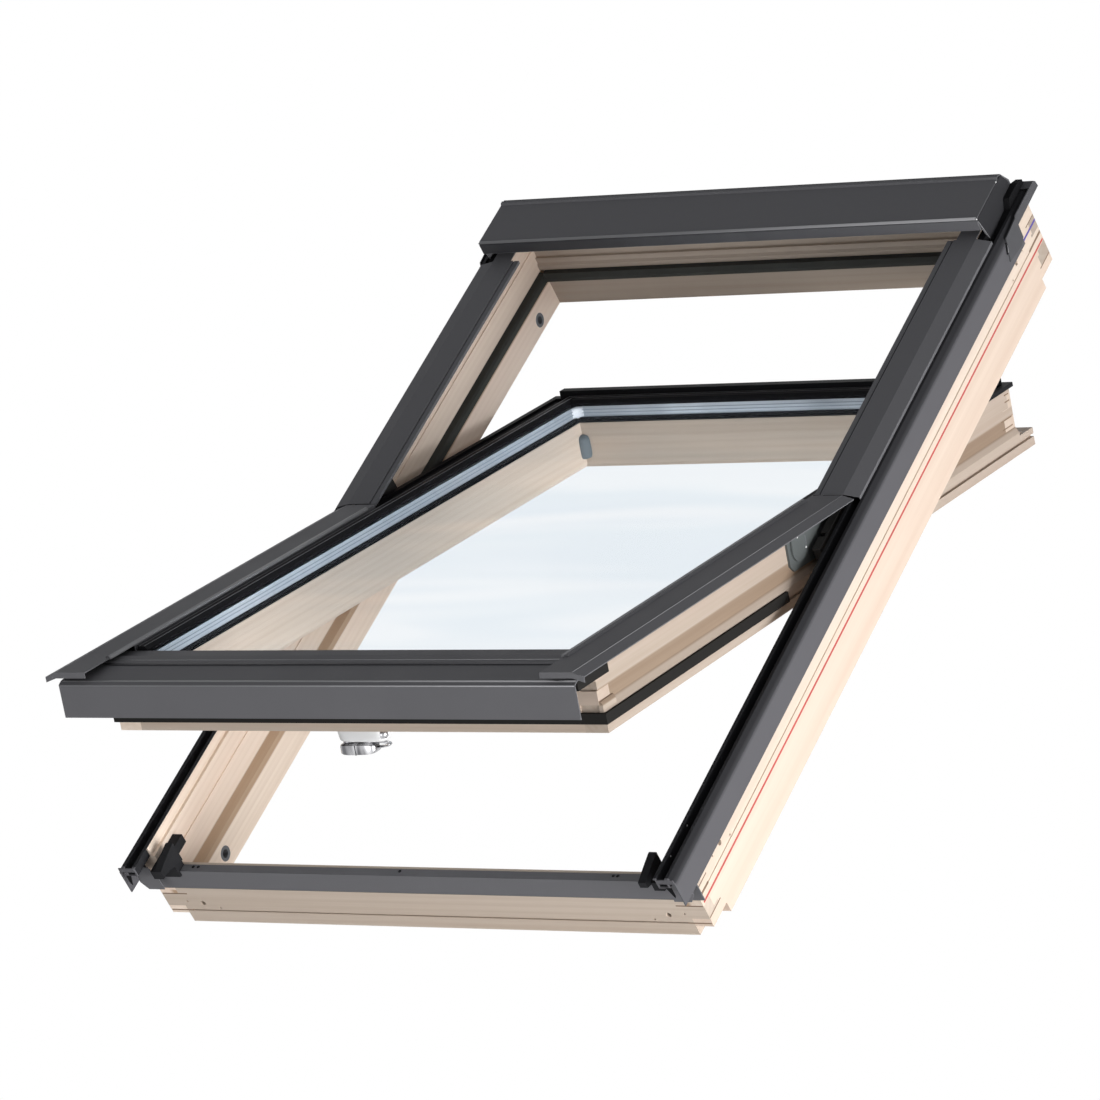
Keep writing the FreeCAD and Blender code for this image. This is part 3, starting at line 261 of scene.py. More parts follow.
# %% [markdown]
# ## Lamps
# The picture is lit from the right, so that the right stile is brightest, the fronts are half as
# bright and the faces that look up are dim. One large lamp stands on each of these sides; their
# powers were set until each face took the tone it has in the picture.

# %% Lamps
def soft_lamp(name, place, size, power, target=(0.0, 0.4, 0.4)):
    """A square area lamp that looks from its place at the target."""
    data = bpy.data.lights.new(name, "AREA")
    data.size = size
    data.energy = power
    lamp = bpy.data.objects.new(name, data)
    bpy.context.scene.collection.objects.link(lamp)
    aim = np.asarray(target, float) - np.asarray(place, float)
    lamp.location = place
    lamp.rotation_euler = (
        math.acos(-aim[2] / np.linalg.norm(aim)), 0.0, math.atan2(aim[1], aim[0]) - math.pi / 2)
    lamp.visible_camera = False
    print(name, power, "W")


soft_lamp("side_lamp", (4.4, -0.9, -0.75), 2.2, 244)
soft_lamp("front_lamp", (-0.5, -3.1, -0.9), 1.8, 22.5)
soft_lamp("back_lamp", (-0.4, 3.9, 1.2), 2.4, 20)
bpy.context.scene.view_settings.view_transform = "Standard"

# %% [markdown]
# ## Shared effects
# ### Pine
# Planed pine shows its growth rings cut lengthwise: soft light and dark streaks, many times
# longer than they are wide, with fine fibres between. Noise drawn out along the fibres gives
# both without a picture of wood, and each mask has its own stretch.

# %% Pine grain group
def make_pine_grain():
    """Long soft streaks, faint growth rings and fine fibres, for wood whose fibres run along Y.

    Each streak mask is noise whose scale across the fibres is many times its scale along them.
    The masks are weighted and added, and the sum slides the colour from Light to Dark; a broad
    noise of its own leads it a little towards Blush.
    """
    tree, given, out = group_tree(
        "pine_grain",
        [("Vector", VECTOR, None), ("Light", COLOUR, (0.8, 0.7, 0.6, 1)),
         ("Dark", COLOUR, (0.6, 0.48, 0.38, 1)), ("Blush", COLOUR, (0.72, 0.55, 0.45, 1)),
         ("Ring Strength", FLOAT, 0.2), ("Shift", FLOAT, 0.0)], EFFECT_OUTPUTS)
    moved = shifted(tree, given, (0, 1, 2))

    def streaks(across, along, detail, low, high):
        drawn = mapped(tree, moved, Scale=(across, along, across))
        return ramp(tree, noise(tree, drawn, 1.0, detail), [(low, 0.0), (high, 1.0)])

    broad = streaks(26.0, 0.9, 2.0, 0.36, 0.70)
    narrow = streaks(120.0, 2.2, 3.0, 0.40, 0.74)
    fibre = streaks(620.0, 7.0, 3.0, 0.38, 0.68)
    blush = streaks(14.0, 0.8, 1.0, 0.42, 0.66)
    flat = mapped(tree, moved, Scale=(1.0, 0.02, 1.0), Location=(0.11, 0.0, 0.17))
    rings = add(tree, "ShaderNodeTexWave",
                [("Vector", flat), ("Scale", 34.0), ("Distortion", 9.0), ("Detail", 2.0),
                 ("Detail Scale", 0.35)],
                wave_type="RINGS", rings_direction="SPHERICAL", wave_profile="SIN")
    ring_mask = ramp(tree, rings.outputs["Color"], [(0.35, 0.0), (0.97, 1.0)])
    total = maths(tree, "MULTIPLY", ring_mask, given["Ring Strength"])
    for mask, weight in ((broad, 0.38), (narrow, 0.26), (fibre, 0.14)):
        total = maths(tree, "MULTIPLY_ADD", mask, weight, total)
    colour = mix_colour(tree, total, given["Light"], given["Dark"])
    colour = mix_colour(tree, maths(tree, "MULTIPLY", blush, 0.4), colour, given["Blush"])
    give(tree, out, Color=colour, Height=fibre,
         Roughness=rescale(tree, total, 0.0, 1.0, 0.46, 0.6))
    return tree


pine_grain = make_pine_grain()
print("pine_grain has", len(pine_grain.nodes), "nodes")

# %% [markdown]
# ### Enamel, plastic and rubber
# Baked enamel and moulded plastic look flat, yet their tone drifts a little over the piece and a
# fine hammered grain breaks up the shine. Two noises at very different scales give the two.

# %% Fine surface group
def make_fine_surface():
    """Small scale unevenness: a slow noise for tone and shine, a fine one for the height."""
    tree, given, out = group_tree(
        "fine_surface",
        [("Vector", VECTOR, None), ("Colour", COLOUR, (0.1, 0.1, 0.1, 1)), ("Tone", FLOAT, 0.06),
         ("Grain Scale", FLOAT, 900.0), ("Rough Low", FLOAT, 0.35),
         ("Rough High", FLOAT, 0.5)], EFFECT_OUTPUTS)
    slow = noise(tree, given["Vector"], 14.0, 4.0)
    fine = noise(tree, given["Vector"], given["Grain Scale"], 2.0)
    swing = maths(tree, "MULTIPLY", maths(tree, "SUBTRACT", slow, 0.5), given["Tone"])
    colour = add(tree, "ShaderNodeHueSaturation", [("Value", maths(tree, "ADD", swing, 1.0)),
                                                   ("Color", given["Colour"])])
    give(tree, out, Color=colour.outputs[0], Height=fine,
         Roughness=rescale(tree, slow, 0.3, 0.7, given["Rough Low"], given["Rough High"]))
    return tree


fine_surface = make_fine_surface()
print("fine_surface has", len(fine_surface.nodes), "nodes")

# %% [markdown]
# ### Polished metal
# Chrome shows the light and dark of a room as soft bands, and polishing leaves fine lines. In a
# white studio there is nothing dark to mirror, so the bands are put in the colour itself: a
# painted reflection.

# %% Metal lines and reflection group
def make_metal_lines_and_reflection():
    """Fine lines across X, and soft bands along it that paint the reflection of the surroundings.
    """
    tree, given, out = group_tree(
        "metal_lines_and_reflection",
        [("Vector", VECTOR, None), ("Bright", COLOUR, (0.9, 0.9, 0.9, 1)),
         ("Dull", COLOUR, (0.3, 0.3, 0.3, 1)), ("Band Scale", FLOAT, 90.0),
         ("Shift", FLOAT, 0.0)], EFFECT_OUTPUTS)
    moved = shifted(tree, given, (0,))
    bands = noise(tree, mapped(tree, moved, Scale=(1.0, 0.15, 0.15)), given["Band Scale"], 1.0)
    lines = noise(tree, mapped(tree, moved, Scale=(1.0, 0.02, 0.02)), 1500.0, 2.0)
    mask = ramp(tree, bands, [(0.38, 0.0), (0.62, 1.0)])
    give(tree, out, Color=mix_colour(tree, mask, given["Bright"], given["Dull"]), Height=lines,
         Roughness=rescale(tree, lines, 0.3, 0.7, 0.18, 0.34))
    return tree


metal_lines_and_reflection = make_metal_lines_and_reflection()
print("metal_lines_and_reflection has", len(metal_lines_and_reflection.nodes), "nodes")

# %% [markdown]
# ### Sky in the glass
# A coated pane tints what shines through it a little blue and shows the sky in soft bands. Both
# are put in the colour of what passes through: a real tint and a painted reflection of the sky.
# Broad noise, drawn out across the pane and bent by its own distortion, mixes two tints.

# %% Sky sheen group
def make_sky_sheen():
    """Two tints mixed by broad noise, drawn out in X and bent by its own distortion."""
    tree, given, out = group_tree(
        "sky_sheen",
        [("Vector", VECTOR, None), ("Clear", COLOUR, (1, 1, 1, 1)),
         ("Tint", COLOUR, (0.8, 0.9, 1, 1))], [("Color", COLOUR)])
    drawn = mapped(tree, given["Vector"], Scale=(1.3, 5.5, 1.0), Rotation=(0.0, 0.0, 0.25))
    mask = ramp(tree, noise(tree, drawn, 1.25, 1.0, 0.9), [(0.40, 0.0), (0.50, 0.55),
                                                          (0.60, 1.0)])
    give(tree, out, Color=mix_colour(tree, mask, given["Clear"], given["Tint"]))
    return tree


sky_sheen = make_sky_sheen()
print("sky_sheen has", len(sky_sheen.nodes), "nodes")

# %% [markdown]
# ## Finishes
# Every finish reads the object's own coordinates. Some need to know where on the window a point
# lies, to paint shade on a milled slope or in a channel beside a lit face: painted shade. The
# coordinates are turned back by the pitch or by the sash's lean, and measured from that part's own
# origin.

# %% Places on the window
finishes = {}


def window_place(tree, turned_back, lean, origin):
    """Distance from the middle, place up the slope and height outwards, in metres."""
    parts = add(tree, "ShaderNodeSeparateXYZ", [(0, turned_back)]).outputs
    across, up_slope, outward = (float(origin @ axis) / MM for axis in slope_axes(lean))
    return (maths(tree, "ABSOLUTE", parts[0]), maths(tree, "SUBTRACT", parts[1], up_slope),
            maths(tree, "SUBTRACT", parts[2], outward))


def level_mask(tree, level, low, high, blur=2.5):
    """One between two heights in millimetres, with soft edges; level is in metres."""
    place = rescale(tree, level, (low - blur) / MM, (high + blur) / MM)
    edge = blur / (high - low + 2 * blur)
    return ramp(tree, place, [(0.0, 0.0), (edge, 1.0), (1 - edge, 1.0), (1.0, 0.0)])


def shaded_surface(tree, output, effect, colour, bump, distance, **sockets):
    """Bump from the effect's height, then one Principled shader joined to the output."""
    rise = add(tree, "ShaderNodeBump", [("Height", effect.outputs["Height"]),
                                        ("Strength", bump), ("Distance", distance)])
    plain = [(label.replace("_", " "), value) for label, value in sockets.items()]
    shader = add(tree, "ShaderNodeBsdfPrincipled",
                 [("Base Color", colour), ("Roughness", effect.outputs["Roughness"]),
                  ("Normal", rise.outputs[0]), *plain])
    tree.links.new(shader.outputs[0], output.inputs["Surface"])


print("pivot at", (PIVOT / MM).round(3), "m")

# %% [markdown]
# ### Eight pine boards
# The fibres have to lie along each board: up the slope in the stiles, across in the rails. Each
# board has its own shift of the pattern and its own tone. The tones differ a little as boards from
# one tree differ, and much more as painted light and shade, set to the light each board gets. The
# milled slopes on the inner side of the frame and the outer side of the sash are painted darker:
# painted shade.

# %% Pine finishes
PINE_LIGHT = (0.76, 0.645, 0.545)
PINE_DARK = (0.60, 0.475, 0.375)
PINE_BLUSH = (0.72, 0.55, 0.45)
PALEST = 0.93
PAINTED_SLOPE_SHADE = (0.50, 0.40, 0.30, 1)


def pine_material(name, lean, origin, along_rail, shift, tone, shade=None):
    """Lacquered pine whose fibres run up the slope, or across it for a rail.

    Tone scales the board's colours. Shade is (low, high, near, far, amount): painted shade on
    the milled slope between two heights, on the side where the distance from the middle goes from
    near to far.
    """
    material, tree, output = new_material(name)
    place = add(tree, "ShaderNodeTexCoord").outputs["Object"]
    fibres = turned_back = mapped(tree, place, Rotation=(-lean, 0.0, 0.0))
    if along_rail:
        fibres = mapped(tree, turned_back, Rotation=(0.0, 0.0, math.pi / 2))
    tones = [("Light", PINE_LIGHT), ("Dark", PINE_DARK), ("Blush", PINE_BLUSH)]
    grain = add(tree, "ShaderNodeGroup",
                [("Vector", fibres), ("Ring Strength", 0.18), ("Shift", shift)]
                + [(label, [min(PALEST, part * tone) for part in value] + [1])
                   for label, value in tones], node_tree=pine_grain)
    colour = grain.outputs["Color"]
    # Painted shade on the milled slope.
    if shade:
        low, high, near, far, amount = shade
        distance, _, level = window_place(tree, turned_back, lean, origin)
        band = level_mask(tree, level, low, high)
        inside = rescale(tree, distance, near, far, 0.0, amount)
        colour = mix_colour(tree, maths(tree, "MULTIPLY", band, inside), colour, PAINTED_SLOPE_SHADE,
                            "MULTIPLY")
    shaded_surface(tree, output, grain, colour, 0.06, 0.0004, Specular_IOR_Level=0.12)
    return material


inner_slope = (19, 33, 0.376, 0.370, 0.9)
outer_flare = (-66, -50, 0.330, 0.336, 0.75)
# Each tone is partly the board's own and partly painted light and shade, set to the light that
# board gets.
for body, lean, origin, boards in (
        ("frame", PITCH, ORIGIN, (("left_stile", False, 0.31, 1.22, inner_slope),
                                  ("right_stile", False, 0.0, 1.0, inner_slope),
                                  ("top_rail", True, 0.52, 0.62, None),
                                  ("bottom_rail", True, 0.77, 0.80, None))),
        ("sash", PITCH - OPENING, PIVOT, (("left_stile", False, 0.14, 1.22, outer_flare),
                                          ("right_stile", False, 0.93, 0.66, outer_flare),
                                          ("top_rail", True, 1.21, 0.86, None),
                                          ("bottom_rail", True, 1.63, 0.74, None)))):
    for board, *values in boards:
        name = f"pine_{body}_{board}"
        finishes[name] = pine_material(name, lean, origin, *values)
print(len(finishes), "pine finishes")

# %% [markdown]
# ### Metal, plastic and rubber
# The cladding is aluminium with a matt baked enamel, which throws back a little light from all
# sides and hardly mirrors; plastics and rubber differ from it in tone, grain and roughness. One
# function makes them all from a table, with the fine unevenness group inside. The side cladding
# takes a darker copy of the same enamel, and a mask darkens its rolled rim and the channel
# behind: both are painted shade.

# %% Metal, plastic and rubber finishes
def rim_shade_mask(tree, place):
    """Painted shade: mask of the rolled rim and the channel behind it, without the lip at the
    lower end.

    It is the larger of two slopes, height above the rim's start and nearness to the middle past
    the rim's inner wall, and it stops short of the lip.
    """
    turned_back = mapped(tree, place, Rotation=(-PITCH, 0.0, 0.0))
    distance, up_slope, level = window_place(tree, turned_back, PITCH, ORIGIN)
    behind = maths(tree, "MAXIMUM", rescale(tree, level, 0.096, 0.105),
                   rescale(tree, distance, 0.3965, 0.3925))
    return maths(tree, "MULTIPLY", behind, maths(tree, "GREATER_THAN", up_slope, -0.622))


def surface_material(name, colour, tone, grain_scale, rough_low, rough_high, specular):
    """One even finish with fine unevenness."""
    material, tree, output = new_material(name)
    place = add(tree, "ShaderNodeTexCoord").outputs["Object"]
    fine = add(tree, "ShaderNodeGroup",
               [("Vector", place), ("Colour", (*colour, 1)), ("Tone", tone),
                ("Grain Scale", grain_scale), ("Rough Low", rough_low),
                ("Rough High", rough_high)], node_tree=fine_surface)
    seen = fine.outputs["Color"]
    # Painted shade on the side cladding's rim and channel.
    if name == "side_enamel":
        seen = mix_colour(tree, rim_shade_mask(tree, place), seen, (0.030, 0.030, 0.033, 1))
    shaded_surface(tree, output, fine, seen, 0.05, 0.0002, Specular_IOR_Level=specular)
    return material


for name, *values in (
        ("grey_enamel", (0.150, 0.149, 0.158), 0.10, 1400.0, 0.50, 0.60, 0.04),
        # The side enamel is the grey enamel made darker: painted shade.
        ("side_enamel", (0.112, 0.110, 0.119), 0.10, 1400.0, 0.50, 0.60, 0.03),
        ("plate_enamel", (0.088, 0.088, 0.094), 0.10, 1400.0, 0.50, 0.60, 0.03),
        # A darker copy of the enamel for painted shade.
        ("dark_enamel", (0.078, 0.078, 0.084), 0.10, 1400.0, 0.50, 0.60, 0.03),
        # Very dark enamel for the hood's end caps: painted shade.
        ("cap_enamel", (0.034, 0.034, 0.037), 0.25, 300.0, 0.50, 0.60, 0.03),
        # A lighter copy of the enamel for painted highlights along folds and edges.
        ("enamel_fold", (0.27, 0.27, 0.28), 0.10, 1400.0, 0.40, 0.50, 0.12),
        # A near white finish for the bright cut ends of the covers: painted highlight.
        ("bare_cut_edge", (0.88, 0.88, 0.88), 0.04, 900.0, 0.30, 0.40, 0.5),
        ("shadow_line", (0.012, 0.012, 0.013), 0.15, 1200.0, 0.70, 0.80, 0.02),
        ("black_plastic", (0.022, 0.022, 0.024), 0.20, 1800.0, 0.45, 0.55, 0.03),
        ("profile_black", (0.016, 0.016, 0.018), 0.20, 1500.0, 0.40, 0.50, 0.02),
        ("rib_grey", (0.16, 0.16, 0.17), 0.10, 1200.0, 0.35, 0.45, 0.2),
        ("black_rubber", (0.022, 0.021, 0.020), 0.20, 2400.0, 0.60, 0.75, 0.03),
        ("grey_rubber", (0.055, 0.056, 0.052), 0.20, 2400.0, 0.60, 0.75, 0.04),
        ("dark_sealant", (0.020, 0.021, 0.024), 0.20, 2400.0, 0.60, 0.75, 0.03),
        ("dull_zinc", (0.105, 0.115, 0.115), 0.50, 500.0, 0.45, 0.60, 0.12),
        ("dark_zinc", (0.050, 0.048, 0.046), 0.50, 500.0, 0.50, 0.60, 0.06),
        ("bright_steel", (0.80, 0.80, 0.80), 0.10, 700.0, 0.25, 0.35, 0.6),
        ("socket_grey", (0.135, 0.14, 0.15), 0.20, 1200.0, 0.40, 0.50, 0.1),
        ("spacer_groove", (0.30, 0.34, 0.39), 0.10, 900.0, 0.40, 0.50, 0.05),
        ("spacer_corner", (0.86, 0.88, 0.92), 0.05, 900.0, 0.30, 0.40, 0.4),
        ("white_plastic", (0.80, 0.80, 0.80), 0.03, 1500.0, 0.25, 0.35, 0.3),
        ("grey_plastic", (0.165, 0.195, 0.215), 0.08, 1500.0, 0.35, 0.45, 0.1),
        ("red_marking", (0.50, 0.095, 0.085), 0.25, 600.0, 0.50, 0.60, 0.1),
        ("blue_marking", (0.115, 0.09, 0.33), 0.25, 600.0, 0.50, 0.60, 0.1),
        ("brown_seam", (0.24, 0.165, 0.115), 0.30, 600.0, 0.60, 0.70, 0.05)):
    finishes[name] = surface_material(name, *values)
print(len(finishes), "finishes so far")

# %% [markdown]
# ### Chrome and spacer metal
# The handle is chromed and the spacer between the panes is rolled aluminium. Both take the
# group of fine lines and bands of painted reflection; only the chrome is a mirror.

# %% Metals with painted reflection bands
def lines_and_reflection_material(name, bright, dull, band_scale, shift, metallic, specular):
    """Metal with fine lines, and soft bands of painted reflection along the piece."""
    material, tree, output = new_material(name)
    place = add(tree, "ShaderNodeTexCoord").outputs["Object"]
    metal = add(tree, "ShaderNodeGroup",
                [("Vector", place), ("Bright", (*bright, 1)), ("Dull", (*dull, 1)),
                 ("Band Scale", band_scale), ("Shift", shift)], node_tree=metal_lines_and_reflection)
    shaded_surface(tree, output, metal, metal.outputs["Color"], 0.04, 0.0001, Metallic=metallic,
                   Specular_IOR_Level=specular)
    return material


for name, *values in (
        ("polished_chrome", (0.82, 0.82, 0.84), (0.16, 0.16, 0.17), 75.0, 0.004, 1.0, 0.5),
        ("spacer_metal", (0.62, 0.67, 0.73), (0.44, 0.48, 0.53), 9.0, 0.3, 0.0, 0.1)):
    finishes[name] = lines_and_reflection_material(name, *values)
print("brushed metals ready")

# %% [markdown]
# ### Glass
# The panes are clear float glass with a thin metal oxide coat. The index is set far below that
# of real glass: at the flat angle of this view a true one would mirror the white studio and veil
# the wood behind, which the picture shows clearly. For the rays that go to the lamps a pane is
# plainly transparent, so that the wood behind it is lit.

# %% Glass finishes
def glass_material(name, clear, tint):
    """Clear float glass: full transmission, no roughness, tinted in soft bands.

    The bands are partly the coat's tint and partly a painted reflection of the sky.
    """
    material, tree, output = new_material(name)
    place = add(tree, "ShaderNodeTexCoord").outputs["Object"]
    sheen = add(tree, "ShaderNodeGroup", [("Vector", place), ("Clear", clear), ("Tint", tint)],
                node_tree=sky_sheen)
    shader = add(tree, "ShaderNodeBsdfPrincipled",
                 [("Base Color", sheen.outputs["Color"]), ("Roughness", 0.0), ("IOR", 1.01),
                  ("Transmission Weight", 1.0)])
    through = add(tree, "ShaderNodeBsdfTransparent", [("Color", clear)])
    path = add(tree, "ShaderNodeLightPath")
    mixed_output(tree, output, path.outputs["Is Shadow Ray"], shader, through)
    return material


# The soft bands of tint are partly the coat's tint and partly a painted reflection of the sky.
for name, clear, tint in (
        ("outer_glass", (0.90, 0.935, 0.96, 1), (0.825, 0.885, 0.93, 1)),
        ("inner_glass", (0.985, 0.985, 0.985, 1), (0.975, 0.975, 0.98, 1))):
    finishes[name] = glass_material(name, clear, tint)
print("glass ready")

# %% [markdown]
# ### Which solid has which finish
# The table names the nodes of each finish once; the eight boards take the finish that bears
# their own name.

# %% Give the solids their finishes
node_finish = {name[len("pine_"):]: name for name in finishes if name.startswith("pine_")}
for finish, names in (
        ("grey_enamel", "frame_bottom_cladding top_casing left_upper_cover right_upper_cover "
                        "left_sash_cover right_sash_cover sash_bottom_cladding"),
        ("side_enamel", "frame_left_cladding frame_right_cladding"),
        ("plate_enamel", "left_casing_bracket right_casing_bracket"),
        ("black_plastic", "left_corner_block right_corner_block"),
        ("profile_black", "sash_left_profile sash_right_profile sash_top_cladding"),
        ("black_rubber", "sash_seal left_end_block right_end_block"),
        ("grey_rubber", "frame_seal"), ("dark_sealant", "glazing_seal"),
        ("dark_zinc", "left_hinge_track right_hinge_track"),
        # The hinge arms' dark zinc also darkens the part below the brake disc: painted shade.
        ("dull_zinc", "left_hinge_arm right_hinge_arm"),
        ("socket_grey", "upper_bolt_socket lower_bolt_socket"),
        ("spacer_metal", "glass_spacer"), ("inner_glass", "inner_pane"),
        ("outer_glass", "outer_pane"), ("white_plastic", "handle_base"),
        ("polished_chrome", "handle_lever"),
        ("grey_plastic", "left_corner_plug right_corner_plug")):
    node_finish.update({name: finish for name in names.split()})
for name, piece in nodes.items():
    piece.data.materials.clear()
    piece.data.materials.append(finishes[node_finish[name]])
print(len(nodes), "nodes finished")

# %% [markdown]
# ## Small pieces
# Everything added now is a grid: rings of points, one after another. Neighbouring rings are
# joined by quads, the first and last ring are closed, and a ring list that comes back to its
# start is joined round. Three ways give the rings: a profile carried along a path, a profile
# turned about an axis, and an oval whose size changes from station to station.

# The mesh maker turns rings into faces, checks which way they point and hands the piece to the
# body that carries it.

# %% Rings to mesh
def ring_faces(count, around, first, joined):
    """Quads between neighbouring rings, as index arrays, plus two end caps if not joined."""
    row = np.arange(count if joined else count - 1)[:, None]
    column = np.arange(around)[None, :]
    next_row, next_column = (row + 1) % count, (column + 1) % around
    quads = np.stack([row * around + column, row * around + next_column,
                      next_row * around + next_column, next_row * around + column], axis=-1)
    faces = (quads.reshape(-1, 4) + first).tolist()
    if not joined:
        ring = np.arange(around)
        faces.append((ring[::-1] + first).tolist())
        faces.append((ring + (count - 1) * around + first).tolist())
    return faces


PLACES = {"frame": in_frame, "sash": in_sash, "handle": in_sash}
SIDES = ((-1, "left"), (1, "right"))


def make_piece(name, parts, finish, body, joined=False, smooth=False):
    """One mesh from a list of ring grids (rings, points round, 3) in window millimetres.

    Each grid's enclosed volume is worked out by the divergence rule; where it comes out
    negative the rings are turned round, so that every face points outwards.
    """
    points, faces, first = [], [], 0
    for rings in parts:
        rings = PLACES[body](rings)
        count, around = rings.shape[:2]
        middle = rings.reshape(-1, 3).mean(axis=0)
        corners = rings - middle
        step = np.roll(corners, -1, axis=1)
        nxt = np.roll(corners, -1, axis=0) if joined else corners[1:]
        near, far = (corners, step) if joined else (corners[:-1], step[:-1])
        signed = np.einsum("ijk,ijk->", near, np.cross(far, nxt))
        if signed < 0:
            rings = rings[:, ::-1]
        points.append(rings.reshape(-1, 3))
        faces += ring_faces(count, around, first, joined)
        first += count * around
    mesh = bpy.data.meshes.new(name)
    mesh.from_pydata(np.concatenate(points).tolist(), [], faces)
    mesh.polygons.foreach_set("use_smooth", [smooth] * len(faces))
    mesh.materials.append(finishes[finish])
    piece = bpy.data.objects.new(name, mesh)
    bpy.context.scene.collection.objects.link(piece)
    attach(piece, body)
    print(name, len(faces), "faces")
    return piece


# %% [markdown]
# ### Three ways to get rings
# A folded edge, a painted line or a bent loop keeps one section along its way; a rivet, a screw
# or a disc is round; a grip swells and thins. These functions give the rings for each kind in
# window millimetres, worked out for all points at once.

# %% Profiles, turned shapes and ovals
def unit(vectors):
    """Each vector divided by its length."""
    return vectors / np.linalg.norm(vectors, axis=-1, keepdims=True)


def carried(path, up, profile, joined=False):
    """Point = path point + first profile number sideways + second profile number along up.

    Sideways is the direction of travel crossed with up; at a corner it is the mean of the two
    runs, lengthened so that the strip keeps its width through the mitre.
    """
    path, up = np.asarray(path, float), unit(np.asarray(up, float))
    if joined:
        runs = unit(np.roll(path, -1, axis=0) - path)
        before, after = np.roll(runs, 1, axis=0), runs
    else:
        runs = unit(np.diff(path, axis=0))
        before, after = np.vstack([runs[:1], runs]), np.vstack([runs, runs[-1:]])
    side = np.cross(before, up)
    mitre = unit(side + np.cross(after, up))
    mitre = mitre / np.sum(mitre * side, axis=1, keepdims=True)
    profile = np.asarray(profile, float)
    return (path[:, None] + profile[None, :, :1] * mitre[:, None]
            + profile[None, :, 1:] * up[None, None])


def low_arch(width, height, sunk=0.3, count=7):
    """Half oval: across = half the width times cosine, up = height times sine, on a flat foot."""
    angle = np.linspace(0.0, math.pi, count)
    arch = np.stack([width / 2 * np.cos(angle), height * np.sin(angle)], axis=1)
    return np.vstack([arch, [[-width / 2, -sunk], [width / 2, -sunk]]])


def turned(centre, axis, profile, count=28):
    """Point = centre + height along the axis + radius round it, for each (radius, height)."""
    axis = unit(np.asarray(axis, float))
    other = np.array([0.0, 0.0, 1.0]) if abs(axis[2]) < 0.9 else np.array([0.0, 1.0, 0.0])
    first = unit(np.cross(axis, other))
    second = np.cross(axis, first)
    angle = np.linspace(0, 2 * math.pi, count, endpoint=False)
    circle = np.cos(angle)[:, None] * first + np.sin(angle)[:, None] * second
    profile = np.asarray(profile, float)
    return (np.asarray(centre, float) + profile[:, 1, None, None] * axis
            + profile[:, 0, None, None] * circle[None])


def power_oval(exponent, count=40):
    """Unit oval between circle and square: the sign and the 2/exponent power of cosine, sine."""
    angle = np.linspace(0, 2 * math.pi, count, endpoint=False)
    c, s = np.cos(angle), np.sin(angle)
    return np.stack([np.sign(c) * np.abs(c) ** (2 / exponent),
                     np.sign(s) * np.abs(s) ** (2 / exponent)], axis=1)


print("low arch has", len(low_arch(2, 1)), "points")

# %% [markdown]
# ### Marks and seams in the wood
# A red line runs up the outer face of the right stile and a short blue one stands near its top:
# painted assembly marks. The finger joints show as fine brown seams at the ends of the bars.
# Short brown lines in the grooves of the right stile and of the bottom face, near their ends, are
# painted shade. Each is a very low arch carried along a straight path, because paint and filler
# stand a hair proud.

# %% Marks and seams
side_face, low_face = 390.0, -589.0


def seams(name, runs, up, width, height, finish, body):
    """One piece from a low arch carried along each run."""
    return make_piece(name, [carried(run, up, low_arch(width, height)) for run in runs],
                      finish, body)


seams("red_marking_line", [[(side_face, -585, 30.6), (side_face, 587, 30.6)]], (1, 0, 0), 3.2,
      0.2, "red_marking", "frame")
seams("blue_marking_line", [[(side_face, 544, 62), (side_face, 588.5, 62)]], (1, 0, 0), 3.4, 0.2,
      "blue_marking", "frame")
seams("right_stile_joint_seams",
      [[(side_face, -588.5, 8), (side_face, -556, 8)],
       [(side_face, -588.5, 52), (side_face, -558, 52)],
       [(side_face, 556, 6.5), (side_face, 588.5, 6.5)],
       [(side_face, 562, 70), (side_face, 588.5, 70)]], (1, 0, 0), 1.7, 0.12, "brown_seam",
      "frame")
# Brown lines in the right stile's groove: painted shade.
seams("right_stile_groove_shade",
      [[(side_face, 548, 41.5), (side_face, 588.5, 42.5)],
       [(side_face, -588.5, 41.5), (side_face, -562, 41)]], (1, 0, 0), 3.4, 0.12, "brown_seam",
      "frame")
bottom_runs = []
# The first run of each pair is a finger joint; the second lies in the groove: painted shade.
for side in (-1, 1):
    bottom_runs += [[(side * 352, low_face, 27.5), (side * 389, low_face, 27.5)],
                    [(side * 356, low_face, -1.2), (side * 389, low_face, -1.2)]]
seams("bottom_rail_seams_and_groove_shade", bottom_runs, (0, -1, 0), 2.0, 0.12, "brown_seam", "frame")
sash_side = 343.0
seams("sash_joint_seams",
      [[(sash_side, 474.4, -19.8), (sash_side, 486, -19.8)],
       [(sash_side, 473.3, -28.6), (sash_side, 486, -28.6)],
       [(sash_side, 456, -50.2), (sash_side, 485, -50.2)],
       [(sash_side, 456.6, -61.3), (sash_side, 485, -61.3)]], (1, 0, 0), 1.7, 0.12, "brown_seam",
      "sash")

# %% [markdown]
# ### Cleat at the sash's lower corner
# Below the cover's end a small planed cleat sits against the stile, with a chamfer on its upper
# edge and a slanted upper end. It is an uneven four-sided section whose size shrinks towards
# the upper end.

# %% Corner cleat
def cleat(side):
    """Section corners (u, w) at three stations along the stile, the last one drawn in."""
    section = np.array([(342.0, -79.0), (347.6, -79.0), (347.6, -67.0), (345.2, -63.0),
                        (342.0, -62.0)])
    stations = ((-570.5, 1.0), (-541.0, 1.0), (-535.5, 0.35))
    anchor = np.array([342.0, -74.0])
    rings = []
    for v, scale in stations:
        flat = anchor + (section - anchor) * scale
        rings.append(np.stack([side * flat[:, 0], np.full(5, v), flat[:, 1]], axis=1))
    return np.array(rings)


for side, label in ((1, "right"), (-1, "left")):
    make_piece(f"{label}_corner_cleat", [cleat(side)], f"pine_sash_{label}_stile",
               "sash")

